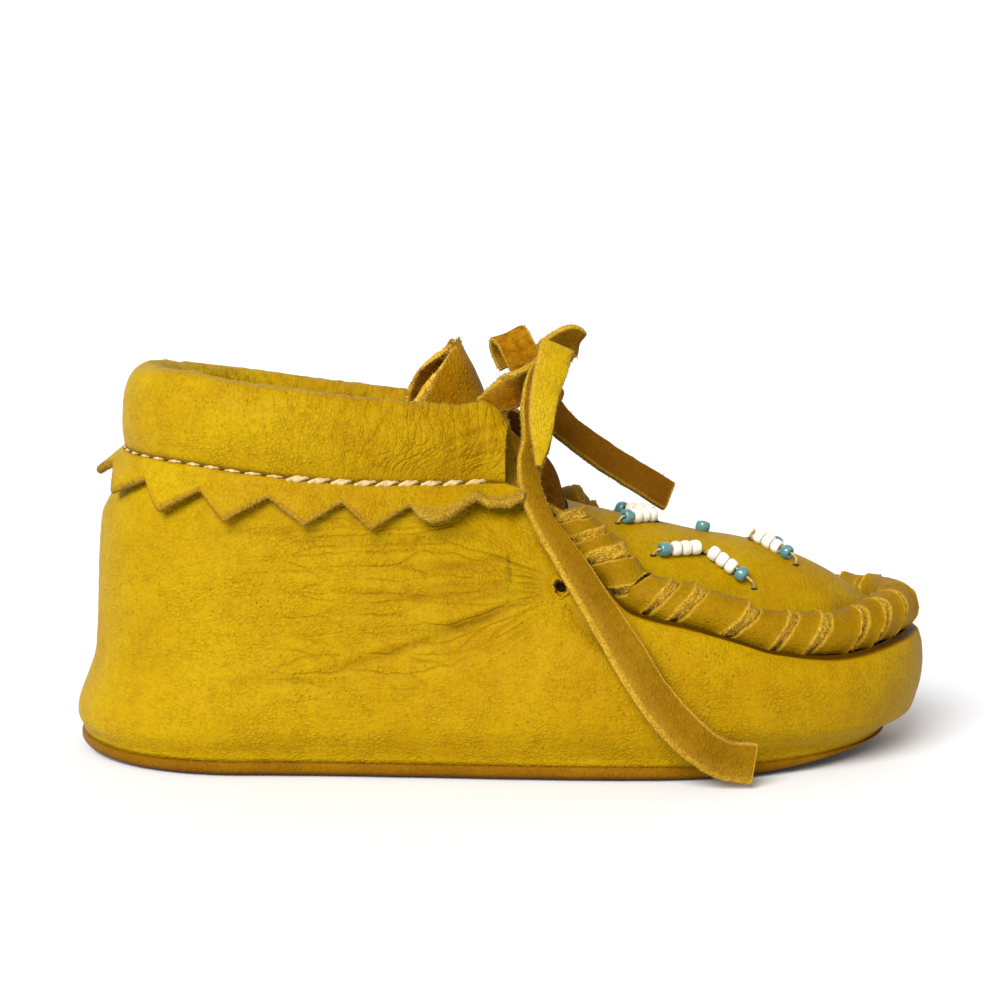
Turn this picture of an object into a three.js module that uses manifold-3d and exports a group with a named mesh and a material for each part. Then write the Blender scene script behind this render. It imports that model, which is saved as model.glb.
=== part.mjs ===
// Beaded baby moccasin in soft hide, millimetres: +X to the toe, -Y the near side, +Z up.
// It stands empty on z = 0 with its origin under the middle of its box.
import * as THREE from "three";
import { LoftGeometry } from "three/addons/geometries/LoftGeometry.js";
import { mergeVertices } from "three/addons/utils/BufferGeometryUtils.js";
import Module from "manifold-3d";

const wasm = await Module();
wasm.setup();

// Driving dimensions
const HIDE = 1.4; // wall of upper, vamp and tongue
const GAP = 0.3; // air left where two pieces meet
const PROBE = 0.01; // height step for slopes of the wall
const LAP_PROBE = 0.002; // step along a lap or a sheet for directions
const WELD = 0.0005; // points closer than this are one
const SOLE = {
  heelTip: -62.6,
  heelCentre: -35.6,
  heelHalfWidth: 24.2,
  ballCentre: 20,
  ballHalfWidth: 27,
  toeTip: 57.6,
  thickness: 2,
  toeSpring: 0.8,
  springFrom: 32,
  heelLift: 0.6,
  liftFrom: -48,
  sections: 46,
  endTrim: 0.004, // share of the edge left off at heel and toe, where the end faces are
};
const UPPER = { seamInset: 0.5, wallLevels: 6, collarLevels: 2, crowding: 1.5 };
// Stations of the upper from heel to toe: how many there are up to each share, closest at the throat
const STATIONS = [
  { share: 0.5, count: 18 },
  { share: 0.6, count: 10 },
  { share: 1, count: 16 },
];
const HOLE = { share: 0.572, z: 26.2, diameter: 2.2, depth: 9, sides: 10 };
const ROLL = {
  radius: 3.3,
  startShare: 0.556,
  wraps: 25,
  lean: 1.7, // how far along the seam a wrap slants to each side
  sides: 8,
  linePoints: 60,
  endMargin: 1.2,
};
const VAMP = {
  rearShare: 0.562,
  tipShare: 0.984,
  domePower: 2.2,
  edgeRise: 0.6,
  edgeGap: 0.5,
  sections: 22,
  across: 12,
};
const TONGUE = { sections: 12, across: 10 };
const CUFF = {
  endShare: 0.517,
  leaf: 1.2,
  gap: 0.7,
  teeth: 7,
  notchDepth: 3.2,
  tipDepth: 6.4,
  heelDepth: 0.5, // the teeth's share of those depths at the heel
  heelReach: 0.25,
  toothSteps: 4,
  points: 9,
};
const LACE = { width: 5.2, thickness: 1.3, leadSteps: 9, loopSteps: 14, nearSteps: 36, farSteps: 14 };
const KNOT = { x: 5.5, y: -3, z: 52, radiusX: 2.9, radiusY: 2.5, radiusZ: 3, sides: 10, rings: 8 };
const BEAD = {
  radius: 1.12,
  pitch: 1.55,
  waist: 0.82, // radius share where two beads meet
  end: 0.55, // radius share of a run's end faces
  round: 0.3, // pitch share of a bead's rounding
  lift: 0.4,
  white: 3,
  sides: 6,
  seatProbe: 0.05,
};

// Edge of the sole from the floor up: how far it is set in, and its height
const SOLE_EDGE = [
  { inset: 1.4, z: 0 },
  { inset: 0.6, z: 0.3 },
  { inset: 0.1, z: 0.8 },
  { inset: 0, z: 1.4 },
  { inset: 0.3, z: SOLE.thickness },
];

// Wall of the upper, one row a station from heel back (0) to toe tip (1) along the sole's edge.
// "out" is measured from the sole's edge, z from the floor; the top is the collar, then the apron's seam.
const WALL = table(
  [
    ...["share", "bellyOut", "bellyZ", "midOut", "midZ", "shoulderOut", "shoulderZ"],
    ...["neckOut", "neckZ", "topOut", "topZ"],
  ],
  [
    [0.0, 0.5, 5.0, -2.4, 15, -2.7, 33.5, -8.8, 43.8, -10.6, 54.6],
    [0.16, 0.8, 5.5, -2.0, 16, -2.5, 33.5, -7.4, 43.0, -8.9, 53.7],
    [0.33, 1.3, 7.0, -0.6, 20, -2.4, 34, -4.6, 41.6, -5.2, 51.6],
    [0.45, 1.4, 7.5, -0.6, 20, -4.2, 33, -8.0, 41.0, -9.2, 49.9],
    [0.518, 1.5, 8.0, -0.8, 19, -6.0, 32, -11.4, 40.6, -13.4, 48.5],
    [0.526, 1.5, 8.1, -0.7, 19, -5.8, 31, -10.6, 38.6, -12.0, 42.5],
    [0.545, 1.5, 8.3, -0.3, 18, -4.8, 28.5, -8.8, 35.0, -10.8, 38.2],
    [0.568, 1.6, 8.5, 0.2, 17, -3.2, 25, -6.4, 30.0, -9.3, 33.0],
    [0.614, 1.7, 8.5, 0.6, 15.5, -1.4, 21, -3.6, 24.6, -6.3, 26.9],
    [0.64, 1.7, 8.4, 0.9, 14.5, -0.6, 18.8, -2.4, 21.5, -4.8, 23.4],
    [0.7, 1.7, 8.2, 1.3, 13.5, 0.2, 17, -1.4, 19.6, -3.4, 21.3],
    [0.745, 1.9, 7.8, 1.6, 13.0, 0.6, 16.0, -0.8, 18.0, -2.6, 19.4],
    [0.78, 2.1, 7.2, 2.1, 12.2, 1.2, 15.2, 0.1, 16.7, -1.4, 17.8],
    [0.85, 2.8, 6.4, 3.5, 11.4, 2.9, 13.9, 2.1, 15.3, 1.0, 16.5],
    [0.93, 3.4, 6.0, 4.6, 11.7, 4.3, 14.5, 3.7, 16.1, 2.7, 17.4],
    [1.0, 4.0, 5.6, 5.5, 12.2, 5.4, 15.0, 5.0, 16.7, 4.2, 17.9],
  ],
);

// Ridge line of the vamp
const CREST = table(
  ["x", "z"],
  [
    [8, 36],
    [14.8, 34.4],
    [23.7, 32.6],
    [30, 31.2],
    [38.6, 29.6],
    [44.5, 27.6],
    [50, 24.8],
    [54, 22],
    [56.8, 20.2],
  ],
);

// Tongue from its foot (0) to its tip (1): middle line, half width, set-back and drop of its two edges
const FLAP = table(
  ["up", "x", "z", "halfWidth", "setBack", "drop"],
  [
    [0, 9.1, 34.9, 10.2, 0, 0.3],
    [0.2, 5.0, 38.9, 10.2, 4, 1.4],
    [0.45, 1.0, 43.6, 11.2, 9, 1.2],
    [0.7, -1.4, 50.2, 11.6, 11, 1.0],
    [0.88, -4.0, 55.9, 8.8, 8.0, 1.0],
    [1, -6.2, 59.5, 2.6, 1.6, 0.8],
  ],
);

// Cuff's middle line at one station, from the teeth over the fold to the end of the inner leaf:
// height from the stitch line (0) to the upper's top (1) with a rise added, and distance out from the wall
const FOLD = [
  { height: 0, rise: 0, out: CUFF.gap + CUFF.leaf / 2 },
  { height: 0.4, rise: 0, out: CUFF.gap + CUFF.leaf / 2 + 0.9 },
  { height: 0.8, rise: 0, out: CUFF.gap + CUFF.leaf / 2 + 1.0 },
  { height: 1, rise: 0.9, out: CUFF.gap + CUFF.leaf / 2 + 0.1 },
  { height: 1, rise: 1.5, out: -HIDE / 2 },
  { height: 1, rise: 0.6, out: -HIDE - CUFF.gap - CUFF.leaf / 2 - 0.1 },
  { height: 0.5, rise: 0, out: -HIDE - CUFF.gap - CUFF.leaf / 2 },
  { height: 0, rise: 0, out: -HIDE - CUFF.gap - CUFF.leaf / 2 },
];

// Lace routes: points of the middle line, and the direction of the strip's width there
const END_NEAR = [
  { at: [8.6, -6.4, 55.6], wide: [0.88, 0.1, -0.46] },
  { at: [9.2, -8.2, 57.6], wide: [0.9, 0.1, -0.43] },
  { at: [8.2, -10.4, 55.6], wide: [0.93, 0.05, -0.36] },
  { at: [6.5, -12.1, 50.0], wide: [0.75, 0.6, -0.2] },
  { at: [5.7, -13.4, 45.0], wide: [0.5, 0.86, 0] },
  { at: [5.5, -15.8, 41.2], wide: [0.5, 0.85, 0.15] },
  { at: [6.5, -19.4, 36.0], wide: [0.8, 0.5, 0.3] },
  { at: [9.3, -23.8, 29.0], wide: [0.85, 0.3, 0.43] },
  { at: [15.0, -27.8, 20.0], wide: [0.85, 0.2, 0.49] },
  { at: [21.0, -30.6, 12.0], wide: [0.84, 0.1, 0.53] },
  { at: [26.4, -31.4, 6.6], wide: [0.6, 0, 0.8] },
  { at: [30.6, -30.6, 4.0], wide: [0.3, 0, 0.95] },
  { at: [35.2, -29.8, 3.2], wide: [0.05, 0.05, 1] },
];
const END_FAR = [
  { at: [3.2, 4.4, 54.2], wide: [0.2, 0.6, 0.75] },
  { at: [6.3, 4.6, 50.7], wide: [0.4, 0.6, 0.65] },
  { at: [9.4, 4.3, 46.8], wide: [0.4, 0.6, 0.65] },
  { at: [13.8, 4.8, 43.3], wide: [0.4, 0.6, 0.65] },
  { at: [18.5, 6.2, 40.1], wide: [0.4, 0.6, 0.65] },
  { at: [26.0, 8.4, 35.4], wide: [0.5, 0.5, 0.7] },
];
const LOOP_NEAR = [
  { at: [6.7, -1.9, 54.9], wide: [-0.2, 0.97, 0.1] },
  { at: [8.3, 0.2, 58.8], wide: [-0.2, 0.97, 0.15] },
  { at: [10.2, 1.3, 60.9], wide: [-0.1, 0.99, 0.1] },
  { at: [11.9, 2.0, 60.4], wide: [0.1, 0.99, -0.1] },
  { at: [11.7, 2.0, 58.0], wide: [0.2, 0.97, -0.1] },
  { at: [9.6, 0.4, 54.6], wide: [0.2, 0.97, 0] },
];
const LOOP_FAR = [
  { at: [4.5, -4.3, 55.1], wide: [0.9, 0, 0.42] },
  { at: [3.1, -4.2, 57.5], wide: [0.91, 0, 0.41] },
  { at: [1.8, -3.0, 59.9], wide: [0.91, 0, 0.41] },
  { at: [1.1, -1.0, 60.1], wide: [0.91, 0.1, 0.41] },
  { at: [1.1, -0.2, 58.2], wide: [0.91, 0.1, 0.41] },
  { at: [2.2, -0.7, 56.2], wide: [0.9, 0.1, 0.42] },
];
const LEAD_NEAR = [
  { at: [3.2, -12.6, 47.6], wide: [0, 0, 1] },
  { at: [3.9, -10.2, 48.6], wide: [0, 0, 1] },
  { at: [4.2, -7.4, 50.6], wide: [0, 0.2, 0.98] },
  { at: [5.0, -4.4, 52.0], wide: [0, 0, 1] },
];
const LEAD_FAR = [
  { at: [3.5, 12.6, 46.4], wide: [0, 0, 1] },
  { at: [4.3, 7.6, 44.8], wide: [0, 0, 1] },
  { at: [5.0, 2.6, 44.4], wide: [0, 0.1, 1] },
  { at: [5.3, -2.6, 50.4], wide: [0, 0.5, 0.87] },
];

// Bead rows on the vamp: where each starts, and its direction in degrees from +X
const BEAD_ROWS = [
  { name: "near_back", x: 28.9, y: -8.4, turn: 200 },
  { name: "near_front", x: 30.8, y: -8.6, turn: 332 },
  { name: "far_back", x: 28.9, y: 8.4, turn: 160 },
  { name: "far_front", x: 30.8, y: 8.6, turn: 28 },
  { name: "back_near", x: 22.8, y: -1.5, turn: 217 },
  { name: "back_far", x: 22.8, y: 1.5, turn: 143 },
  { name: "front_near", x: 37.2, y: -1.5, turn: 322 },
  { name: "front_far", x: 37.2, y: 1.5, turn: 38 },
];
const CENTRE_BEAD = { x: 30.2, y: 0 };

const FINISH = {
  hide: { color: 0xc8990a, roughness: 0.6, metalness: 0 },
  soleHide: { color: 0xb4850e, roughness: 0.7, metalness: 0 },
  tongueHide: { color: 0xa8780c, roughness: 0.65, metalness: 0 },
  laceHide: { color: 0xba8e0c, roughness: 0.65, metalness: 0 },
  whiteGlass: { color: 0xf6f3e6, roughness: 0.25, metalness: 0 },
  blueGlass: { color: 0x5f9aa2, roughness: 0.25, metalness: 0 },
};

// Rows under named columns become one list of numbers a column
function table(names, rows) {
  return Object.fromEntries(names.map((name, i) => [name, rows.map((row) => row[i])]));
}

// Cubic through rows that never overshoots them; level ends suit a line mirrored there
function smooth(keys, values, at, levelEnds) {
  const last = keys.length - 1;
  const key = THREE.MathUtils.clamp(at, keys[0], keys[last]);
  let i = 0;
  while (i < last - 1 && key > keys[i + 1]) i += 1;
  const slope = (k) => (values[k + 1] - values[k]) / (keys[k + 1] - keys[k]);
  const tangent = (k) => {
    if (k === 0) return levelEnds ? 0 : slope(0);
    if (k === last) return levelEnds ? 0 : slope(last - 1);
    const before = slope(k - 1);
    const after = slope(k);
    return before * after <= 0 ? 0 : (2 * before * after) / (before + after);
  };
  const span = keys[i + 1] - keys[i];
  const f = (key - keys[i]) / span;
  const rise = f * f * (3 - 2 * f);
  const start = f * (1 - f) * (1 - f) * tangent(i);
  const end = f * f * (f - 1) * tangent(i + 1);
  return values[i] + (values[i + 1] - values[i]) * rise + span * (start + end);
}

// Near half of the sole's edge: round heel, easy side, round toe
function soleEdge() {
  const { heelTip, heelCentre, heelHalfWidth, ballCentre, ballHalfWidth, toeTip } = SOLE;
  const third = (ballCentre - heelCentre) / 3;
  const path = new THREE.CurvePath();
  const heelReach = heelCentre - heelTip;
  const toeReach = toeTip - ballCentre;
  path.add(new THREE.EllipseCurve(heelCentre, 0, heelReach, heelHalfWidth, Math.PI, 1.5 * Math.PI));
  path.add(
    new THREE.CubicBezierCurve(
      new THREE.Vector2(heelCentre, -heelHalfWidth),
      new THREE.Vector2(heelCentre + third, -heelHalfWidth),
      new THREE.Vector2(ballCentre - third, -ballHalfWidth),
      new THREE.Vector2(ballCentre, -ballHalfWidth),
    ),
  );
  path.add(new THREE.EllipseCurve(ballCentre, 0, toeReach, ballHalfWidth, 1.5 * Math.PI, 2 * Math.PI));
  return path;
}
const edge = soleEdge();

// Height that the sole's underside rises to at toe and heel
function rocker(x) {
  const toe = Math.max(0, (x - SOLE.springFrom) / (SOLE.toeTip - SOLE.springFrom));
  const heel = Math.max(0, (SOLE.liftFrom - x) / (SOLE.liftFrom - SOLE.heelTip));
  return SOLE.toeSpring * toe * toe + SOLE.heelLift * heel * heel;
}

// Place on the sole's edge; lap runs once round the shoe: heel, near side, toe (0.5), far side
function edgeAt(lap) {
  const turn = THREE.MathUtils.euclideanModulo(lap, 1);
  const near = turn <= 0.5;
  const share = near ? 2 * turn : 2 - 2 * turn;
  const point = edge.getPoint(share);
  const along = edge.getTangent(share);
  const side = near ? 1 : -1;
  return { share, x: point.x, y: point.y * side, outX: along.y, outY: -along.x * side };
}

function place(station, out, z) {
  return new THREE.Vector3(station.x + station.outX * out, station.y + station.outY * out, z);
}

// Heights and offsets that the wall runs through at one station
function wallAt(lap) {
  const station = edgeAt(lap);
  const column = (name) => smooth(WALL.share, WALL[name], station.share, true);
  const rows = ["belly", "mid", "shoulder", "neck", "top"];
  const seamZ = SOLE.thickness + rocker(station.x) + GAP;
  const heights = [seamZ, ...rows.map((row) => column(`${row}Z`))];
  const outs = [-UPPER.seamInset, ...rows.map((row) => column(`${row}Out`))];
  const top = heights[heights.length - 1];
  const neck = heights[heights.length - 2];
  const out = (z) => smooth(heights, outs, z);
  const lean = (z) => (out(z + PROBE) - out(z - PROBE)) / (2 * PROBE);
  return { station, seamZ, top, neck, out, lean };
}

// Point at a distance outwards from the wall's face, square to it
function offWall(wall, z, distance) {
  const lean = wall.lean(Math.min(z, wall.top - 2 * PROBE));
  const length = Math.hypot(1, lean);
  return { out: wall.out(z) + distance / length, z: z - (distance * lean) / length };
}

function laps(from, to, count) {
  return Array.from({ length: count + 1 }, (_, i) => from + ((to - from) * i) / count);
}

// Closed body through sections, which are turned to run counterclockwise as seen from the end
function loft(sections, capped) {
  const middle = (section) =>
    section.reduce((sum, p) => sum.add(p), new THREE.Vector3()).divideScalar(section.length);
  const centre = middle(sections[0]);
  const normal = new THREE.Vector3();
  sections[0].forEach((p, i) => {
    const next = sections[0][(i + 1) % sections[0].length];
    normal.add(p.clone().sub(centre).cross(next.clone().sub(centre)));
  });
  const forward = middle(sections[1]).sub(centre);
  const turned = normal.dot(forward) < 0 ? sections.map((s) => s.slice().reverse()) : sections;
  return solid(new LoftGeometry(turned, { capStart: capped, capEnd: capped }));
}

// Welded solid of a closed geometry
function solid(geometry) {
  const bare = new THREE.BufferGeometry().copy(geometry);
  bare.deleteAttribute("normal");
  bare.deleteAttribute("uv");
  const welded = mergeVertices(bare, WELD);
  const index = welded.index.array;
  const kept = [];
  for (let i = 0; i < index.length; i += 3) {
    const [a, b, c] = [index[i], index[i + 1], index[i + 2]];
    if (a !== b && b !== c && c !== a) kept.push(a, b, c);
  }
  const vertProperties = new Float32Array(welded.attributes.position.array);
  const mesh = new wasm.Mesh({ numProp: 3, vertProperties, triVerts: new Uint32Array(kept) });
  mesh.merge();
  return new wasm.Manifold(mesh);
}

function geometryOf(body) {
  const mesh = body.getMesh();
  const geometry = new THREE.BufferGeometry();
  geometry.setAttribute("position", new THREE.BufferAttribute(mesh.vertProperties, 3));
  geometry.setIndex(new THREE.BufferAttribute(mesh.triVerts, 1));
  geometry.computeVertexNormals();
  return geometry;
}

// Sole: the edge profile on both sides of each section, swept from heel to toe
function soleSolid() {
  const sections = laps(SOLE.endTrim, 1 - SOLE.endTrim, SOLE.sections).map((share) => {
    const sides = [share / 2, 1 - share / 2].map((lap) => {
      const station = edgeAt(lap);
      return SOLE_EDGE.map(({ inset, z }) => {
        const point = place(station, -inset, z);
        point.z += rocker(point.x);
        return point;
      });
    });
    return [...sides[0], ...sides[1].reverse()];
  });
  return loft(sections, true);
}

// Laps of the upper's sections, once round and closed
function upperLaps() {
  const near = [0];
  for (const { share, count } of STATIONS) {
    const last = near[near.length - 1];
    near.push(...laps(last, share / 2, count).slice(1));
  }
  const far = near.slice(0, -1).map((lap) => 1 - lap).reverse();
  return [...near, ...far];
}

// Upper: the wall's outer face and, a hide's thickness inside it, its inner face, once round the shoe
function upperSolid() {
  const sections = upperLaps().map((lap) => {
    const wall = wallAt(lap);
    const heights = laps(0, 1, UPPER.wallLevels).map((level) =>
      THREE.MathUtils.lerp(wall.seamZ, wall.neck, level ** UPPER.crowding),
    );
    heights.push(...laps(wall.neck, wall.top, UPPER.collarLevels).slice(1));
    const outer = heights.map((z) => place(wall.station, wall.out(z), z));
    const inner = heights.map((z, i) => {
      const level = i === 0 ? { out: wall.out(z) - HIDE, z } : offWall(wall, z, -HIDE);
      return place(wall.station, level.out, level.z);
    });
    return [...outer, ...inner.reverse()];
  });
  let body = loft(sections, false);
  for (const lap of [HOLE.share / 2, 1 - HOLE.share / 2]) {
    const wall = wallAt(lap);
    const drill = new THREE.CylinderGeometry(HOLE.diameter / 2, HOLE.diameter / 2, HOLE.depth, HOLE.sides);
    const centre = place(wall.station, wall.out(HOLE.z), HOLE.z);
    drill.translate(centre.x, centre.y, centre.z);
    body = body.subtract(solid(drill));
  }
  return body;
}

// Middle of the wall's top edge, and the wall's own upward direction there
function topEdge(lap) {
  const wall = wallAt(lap);
  const middle = offWall(wall, wall.top, -HIDE / 2);
  const lean = wall.lean(wall.top - 2 * PROBE);
  const up = place({ ...wall.station, x: 0, y: 0 }, lean, 1).normalize();
  return { station: wall.station, point: place(wall.station, middle.out, middle.z), up };
}

// Middle of the whipped seam: past the wall's top edge, square to that edge
function rollAt(lap) {
  const { station, point, up } = topEdge(lap);
  const along = topEdge(lap + LAP_PROBE).point.sub(topEdge(lap - LAP_PROBE).point).normalize();
  const square = up.addScaledVector(along, -up.dot(along)).normalize();
  return { station, point: point.addScaledVector(square, ROLL.radius + GAP) };
}

// Whipped seam: wraps round the seam's line, each ring slanted, waisted where two wraps meet
function whippedSeamSolid() {
  const wrapSteps = [
    { at: 0, radius: 0.86 },
    { at: 0.14, radius: 1 },
    { at: 0.8, radius: 0.97 },
  ];
  const from = ROLL.startShare / 2;
  const span = 1 - 2 * from;
  const linePoints = laps(from, from + span, ROLL.linePoints).map((lap) => rollAt(lap).point);
  const line = new THREE.CatmullRomCurve3(linePoints);
  const length = line.getLength();
  const leanShare = ROLL.lean / length;
  const ring = (share, radius) =>
    Array.from({ length: ROLL.sides }, (_, i) => {
      const angle = (2 * Math.PI * i) / ROLL.sides;
      const slant = leanShare * Math.sin(angle);
      const at = THREE.MathUtils.clamp(share + slant, 0, 1);
      const centre = line.getPointAt(at);
      const along = line.getTangentAt(at);
      const inward = new THREE.Vector3(-along.y, along.x, 0).normalize();
      const up = along.clone().cross(inward);
      const reach = ROLL.radius * radius;
      return centre
        .addScaledVector(inward, reach * Math.cos(angle))
        .addScaledVector(up, reach * Math.sin(angle));
    });
  const rings = [];
  const margin = ROLL.endMargin * leanShare;
  for (let wrap = 0; wrap < ROLL.wraps; wrap += 1) {
    for (const step of wrapSteps) {
      const share = (wrap + step.at) / ROLL.wraps;
      rings.push(ring(margin + share * (1 - 2 * margin), step.radius));
    }
  }
  rings.push(ring(1 - margin, wrapSteps[0].radius));
  return loft(rings, true);
}

// Vamp surface: a dome across each section between the two edges inside the whipped seam
function vampSection(lap) {
  const { station, point } = rollAt(lap);
  const inside = place({ ...station, x: point.x, y: point.y }, -ROLL.radius - VAMP.edgeGap, point.z);
  const rim = inside.setZ(point.z + VAMP.edgeRise);
  const crest = Math.max(rim.z, smooth(CREST.x, CREST.z, rim.x));
  const dome = (across) => 1 - Math.abs(across) ** VAMP.domePower;
  return {
    x: rim.x,
    halfWidth: Math.abs(rim.y),
    point: (across) =>
      new THREE.Vector3(rim.x, across * Math.abs(rim.y), rim.z + (crest - rim.z) * dome(across)),
  };
}

// A sheet's second face, a hide's thickness below the first, square to it
function sheetSections(pointAt, rows, columns, thickness) {
  const step = LAP_PROBE;
  return rows.map((row) => {
    const face = columns.map((column) => pointAt(row, column));
    const back = columns.map((column, i) => {
      const alongRow = pointAt(row + step, column).sub(pointAt(row - step, column));
      const alongColumn = pointAt(row, column + step).sub(pointAt(row, column - step));
      const normal = alongRow.cross(alongColumn).normalize();
      return face[i].clone().addScaledVector(normal, -thickness);
    });
    return [...face, ...back.reverse()];
  });
}

function vampSolid() {
  const rows = laps(VAMP.rearShare / 2, VAMP.tipShare / 2, VAMP.sections);
  const columns = laps(-1, 1, VAMP.across);
  return loft(sheetSections((lap, across) => vampSection(lap).point(across), rows, columns, HIDE), true);
}

// Height of the vamp at a place on it, for what is sewn on top
function vampZ(x, y) {
  let low = VAMP.rearShare / 2;
  let high = VAMP.tipShare / 2;
  while (high - low > WELD / 10) {
    const middle = (low + high) / 2;
    if (vampSection(middle).x < x) low = middle;
    else high = middle;
  }
  const section = vampSection(low);
  return section.point(y / section.halfWidth).z;
}

// Tongue: across it the edges swing back round the ankle and drop
function tonguePoint(up, across) {
  const column = (name) => smooth(FLAP.up, FLAP[name], up);
  const x = column("x") - column("setBack") * across * across;
  return new THREE.Vector3(x, column("halfWidth") * across, column("z") - column("drop") * across * across);
}

function tongueSolid() {
  const rows = laps(0, 1, TONGUE.sections);
  return loft(sheetSections(tonguePoint, rows, laps(-1, 1, TONGUE.across), HIDE), true);
}

// Cuff: a leaf folded over the collar, its outer edge cut in teeth that lie over the wall's shoulder
function cuffSolid() {
  const steps = CUFF.teeth * CUFF.toothSteps;
  const reach = CUFF.endShare / 2;
  const sections = laps(-reach, reach, steps * 2).map((lap, i) => {
    const wall = wallAt(lap);
    const tooth = Math.abs(((i / CUFF.toothSteps) % 1) * 2 - 1);
    const heel = Math.max(0, 1 - wall.station.share / CUFF.heelReach);
    const shorter = THREE.MathUtils.lerp(1, CUFF.heelDepth, heel);
    const depth = shorter * THREE.MathUtils.lerp(CUFF.tipDepth, CUFF.notchDepth, tooth);
    const flapOut = CUFF.gap + CUFF.leaf / 2;
    const middle = [depth, depth / 2].map((below) => offWall(wall, wall.neck - below, flapOut));
    for (const { height, rise, out } of FOLD) {
      const z = THREE.MathUtils.lerp(wall.neck, wall.top, height);
      const at = offWall(wall, z, out);
      middle.push({ out: at.out, z: at.z + rise });
    }
    const line = new THREE.CatmullRomCurve3(middle.map(({ out, z }) => new THREE.Vector3(out, z, 0)));
    const shares = laps(0, 1, CUFF.points);
    const leafFace = (side) =>
      shares.map((share) => {
        const along = line.getTangent(share);
        const at = line.getPoint(share);
        const half = (side * CUFF.leaf) / 2;
        return place(wall.station, at.x + along.y * half, at.y - along.x * half);
      });
    return [...leafFace(1), ...leafFace(-1).reverse()];
  });
  return loft(sections, true);
}

// Flat strip of lace hide along a route, its width turned as the route says
function stripSolid(route, steps) {
  const line = new THREE.CatmullRomCurve3(route.map(({ at }) => new THREE.Vector3(...at)));
  const turn = new THREE.CatmullRomCurve3(route.map(({ wide }) => new THREE.Vector3(...wide)));
  const sections = laps(0, 1, steps).map((share) => {
    const centre = line.getPoint(share);
    const along = line.getTangent(share);
    const wide = turn.getPoint(share);
    wide.addScaledVector(along, -wide.dot(along)).normalize().multiplyScalar(LACE.width / 2);
    const thick = along.clone().cross(wide).normalize().multiplyScalar(LACE.thickness / 2);
    return [
      centre.clone().add(wide).add(thick),
      centre.clone().sub(wide).add(thick),
      centre.clone().sub(wide).sub(thick),
      centre.clone().add(wide).sub(thick),
    ];
  });
  return loft(sections, true);
}

// Knot with the two leads that come out of the cuff's front ends
function knotSolid() {
  const lump = new THREE.SphereGeometry(1, KNOT.sides, KNOT.rings);
  lump.scale(KNOT.radiusX, KNOT.radiusY, KNOT.radiusZ);
  lump.translate(KNOT.x, KNOT.y, KNOT.z);
  return solid(lump).add(stripSolid(LEAD_NEAR, LACE.leadSteps)).add(stripSolid(LEAD_FAR, LACE.leadSteps));
}

// Round glass beads threaded on a line, one lathe for a run of them
function beadRun(count) {
  const profile = [new THREE.Vector2(0, 0)];
  const end = BEAD.radius * BEAD.end;
  for (let bead = 0; bead < count; bead += 1) {
    const base = bead * BEAD.pitch;
    profile.push(new THREE.Vector2(bead === 0 ? end : BEAD.radius * BEAD.waist, base));
    profile.push(new THREE.Vector2(BEAD.radius, base + BEAD.pitch * BEAD.round));
    profile.push(new THREE.Vector2(BEAD.radius, base + BEAD.pitch * (1 - BEAD.round)));
  }
  profile.push(new THREE.Vector2(end, count * BEAD.pitch));
  profile.push(new THREE.Vector2(0, count * BEAD.pitch));
  return geometryOf(solid(new THREE.LatheGeometry(profile, BEAD.sides)));
}

const moccasin = new THREE.Group();

function addPiece(name, geometry, finish) {
  const mesh = new THREE.Mesh(geometry, new THREE.MeshStandardMaterial(finish));
  mesh.name = name;
  moccasin.add(mesh);
  return mesh;
}

// Beads stand in a line along the vamp, from a start, in a direction
function addBeads(name, count, finish, start, direction) {
  const mesh = addPiece(name, beadRun(count), finish);
  mesh.position.copy(start);
  mesh.quaternion.setFromUnitVectors(new THREE.Vector3(0, 1, 0), direction);
}

// Middle of a bead that rests on the vamp, square to it
function beadSeat(x, y) {
  const step = BEAD.seatProbe;
  const slopeX = (vampZ(x + step, y) - vampZ(x - step, y)) / (2 * step);
  const slopeY = (vampZ(x, y + step) - vampZ(x, y - step)) / (2 * step);
  const normal = new THREE.Vector3(-slopeX, -slopeY, 1).normalize();
  return new THREE.Vector3(x, y, vampZ(x, y)).addScaledVector(normal, BEAD.radius + BEAD.lift);
}

function addBeadRows() {
  const run = BEAD.white * BEAD.pitch + GAP;
  for (const { name, x, y, turn } of BEAD_ROWS) {
    const angle = THREE.MathUtils.degToRad(turn);
    const seat = (distance) => beadSeat(x + Math.cos(angle) * distance, y + Math.sin(angle) * distance);
    const start = seat(0);
    const direction = seat(run + BEAD.pitch).sub(start).normalize();
    addBeads(`beads_white_${name}`, BEAD.white, FINISH.whiteGlass, start, direction);
    const blueStart = start.clone().addScaledVector(direction, run);
    addBeads(`bead_blue_${name}`, 1, FINISH.blueGlass, blueStart, direction);
  }
  const { x, y } = CENTRE_BEAD;
  const centre = beadSeat(x - BEAD.pitch / 2, y);
  addBeads("bead_blue_centre", 1, FINISH.blueGlass, centre, new THREE.Vector3(1, 0, 0));
}

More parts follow.
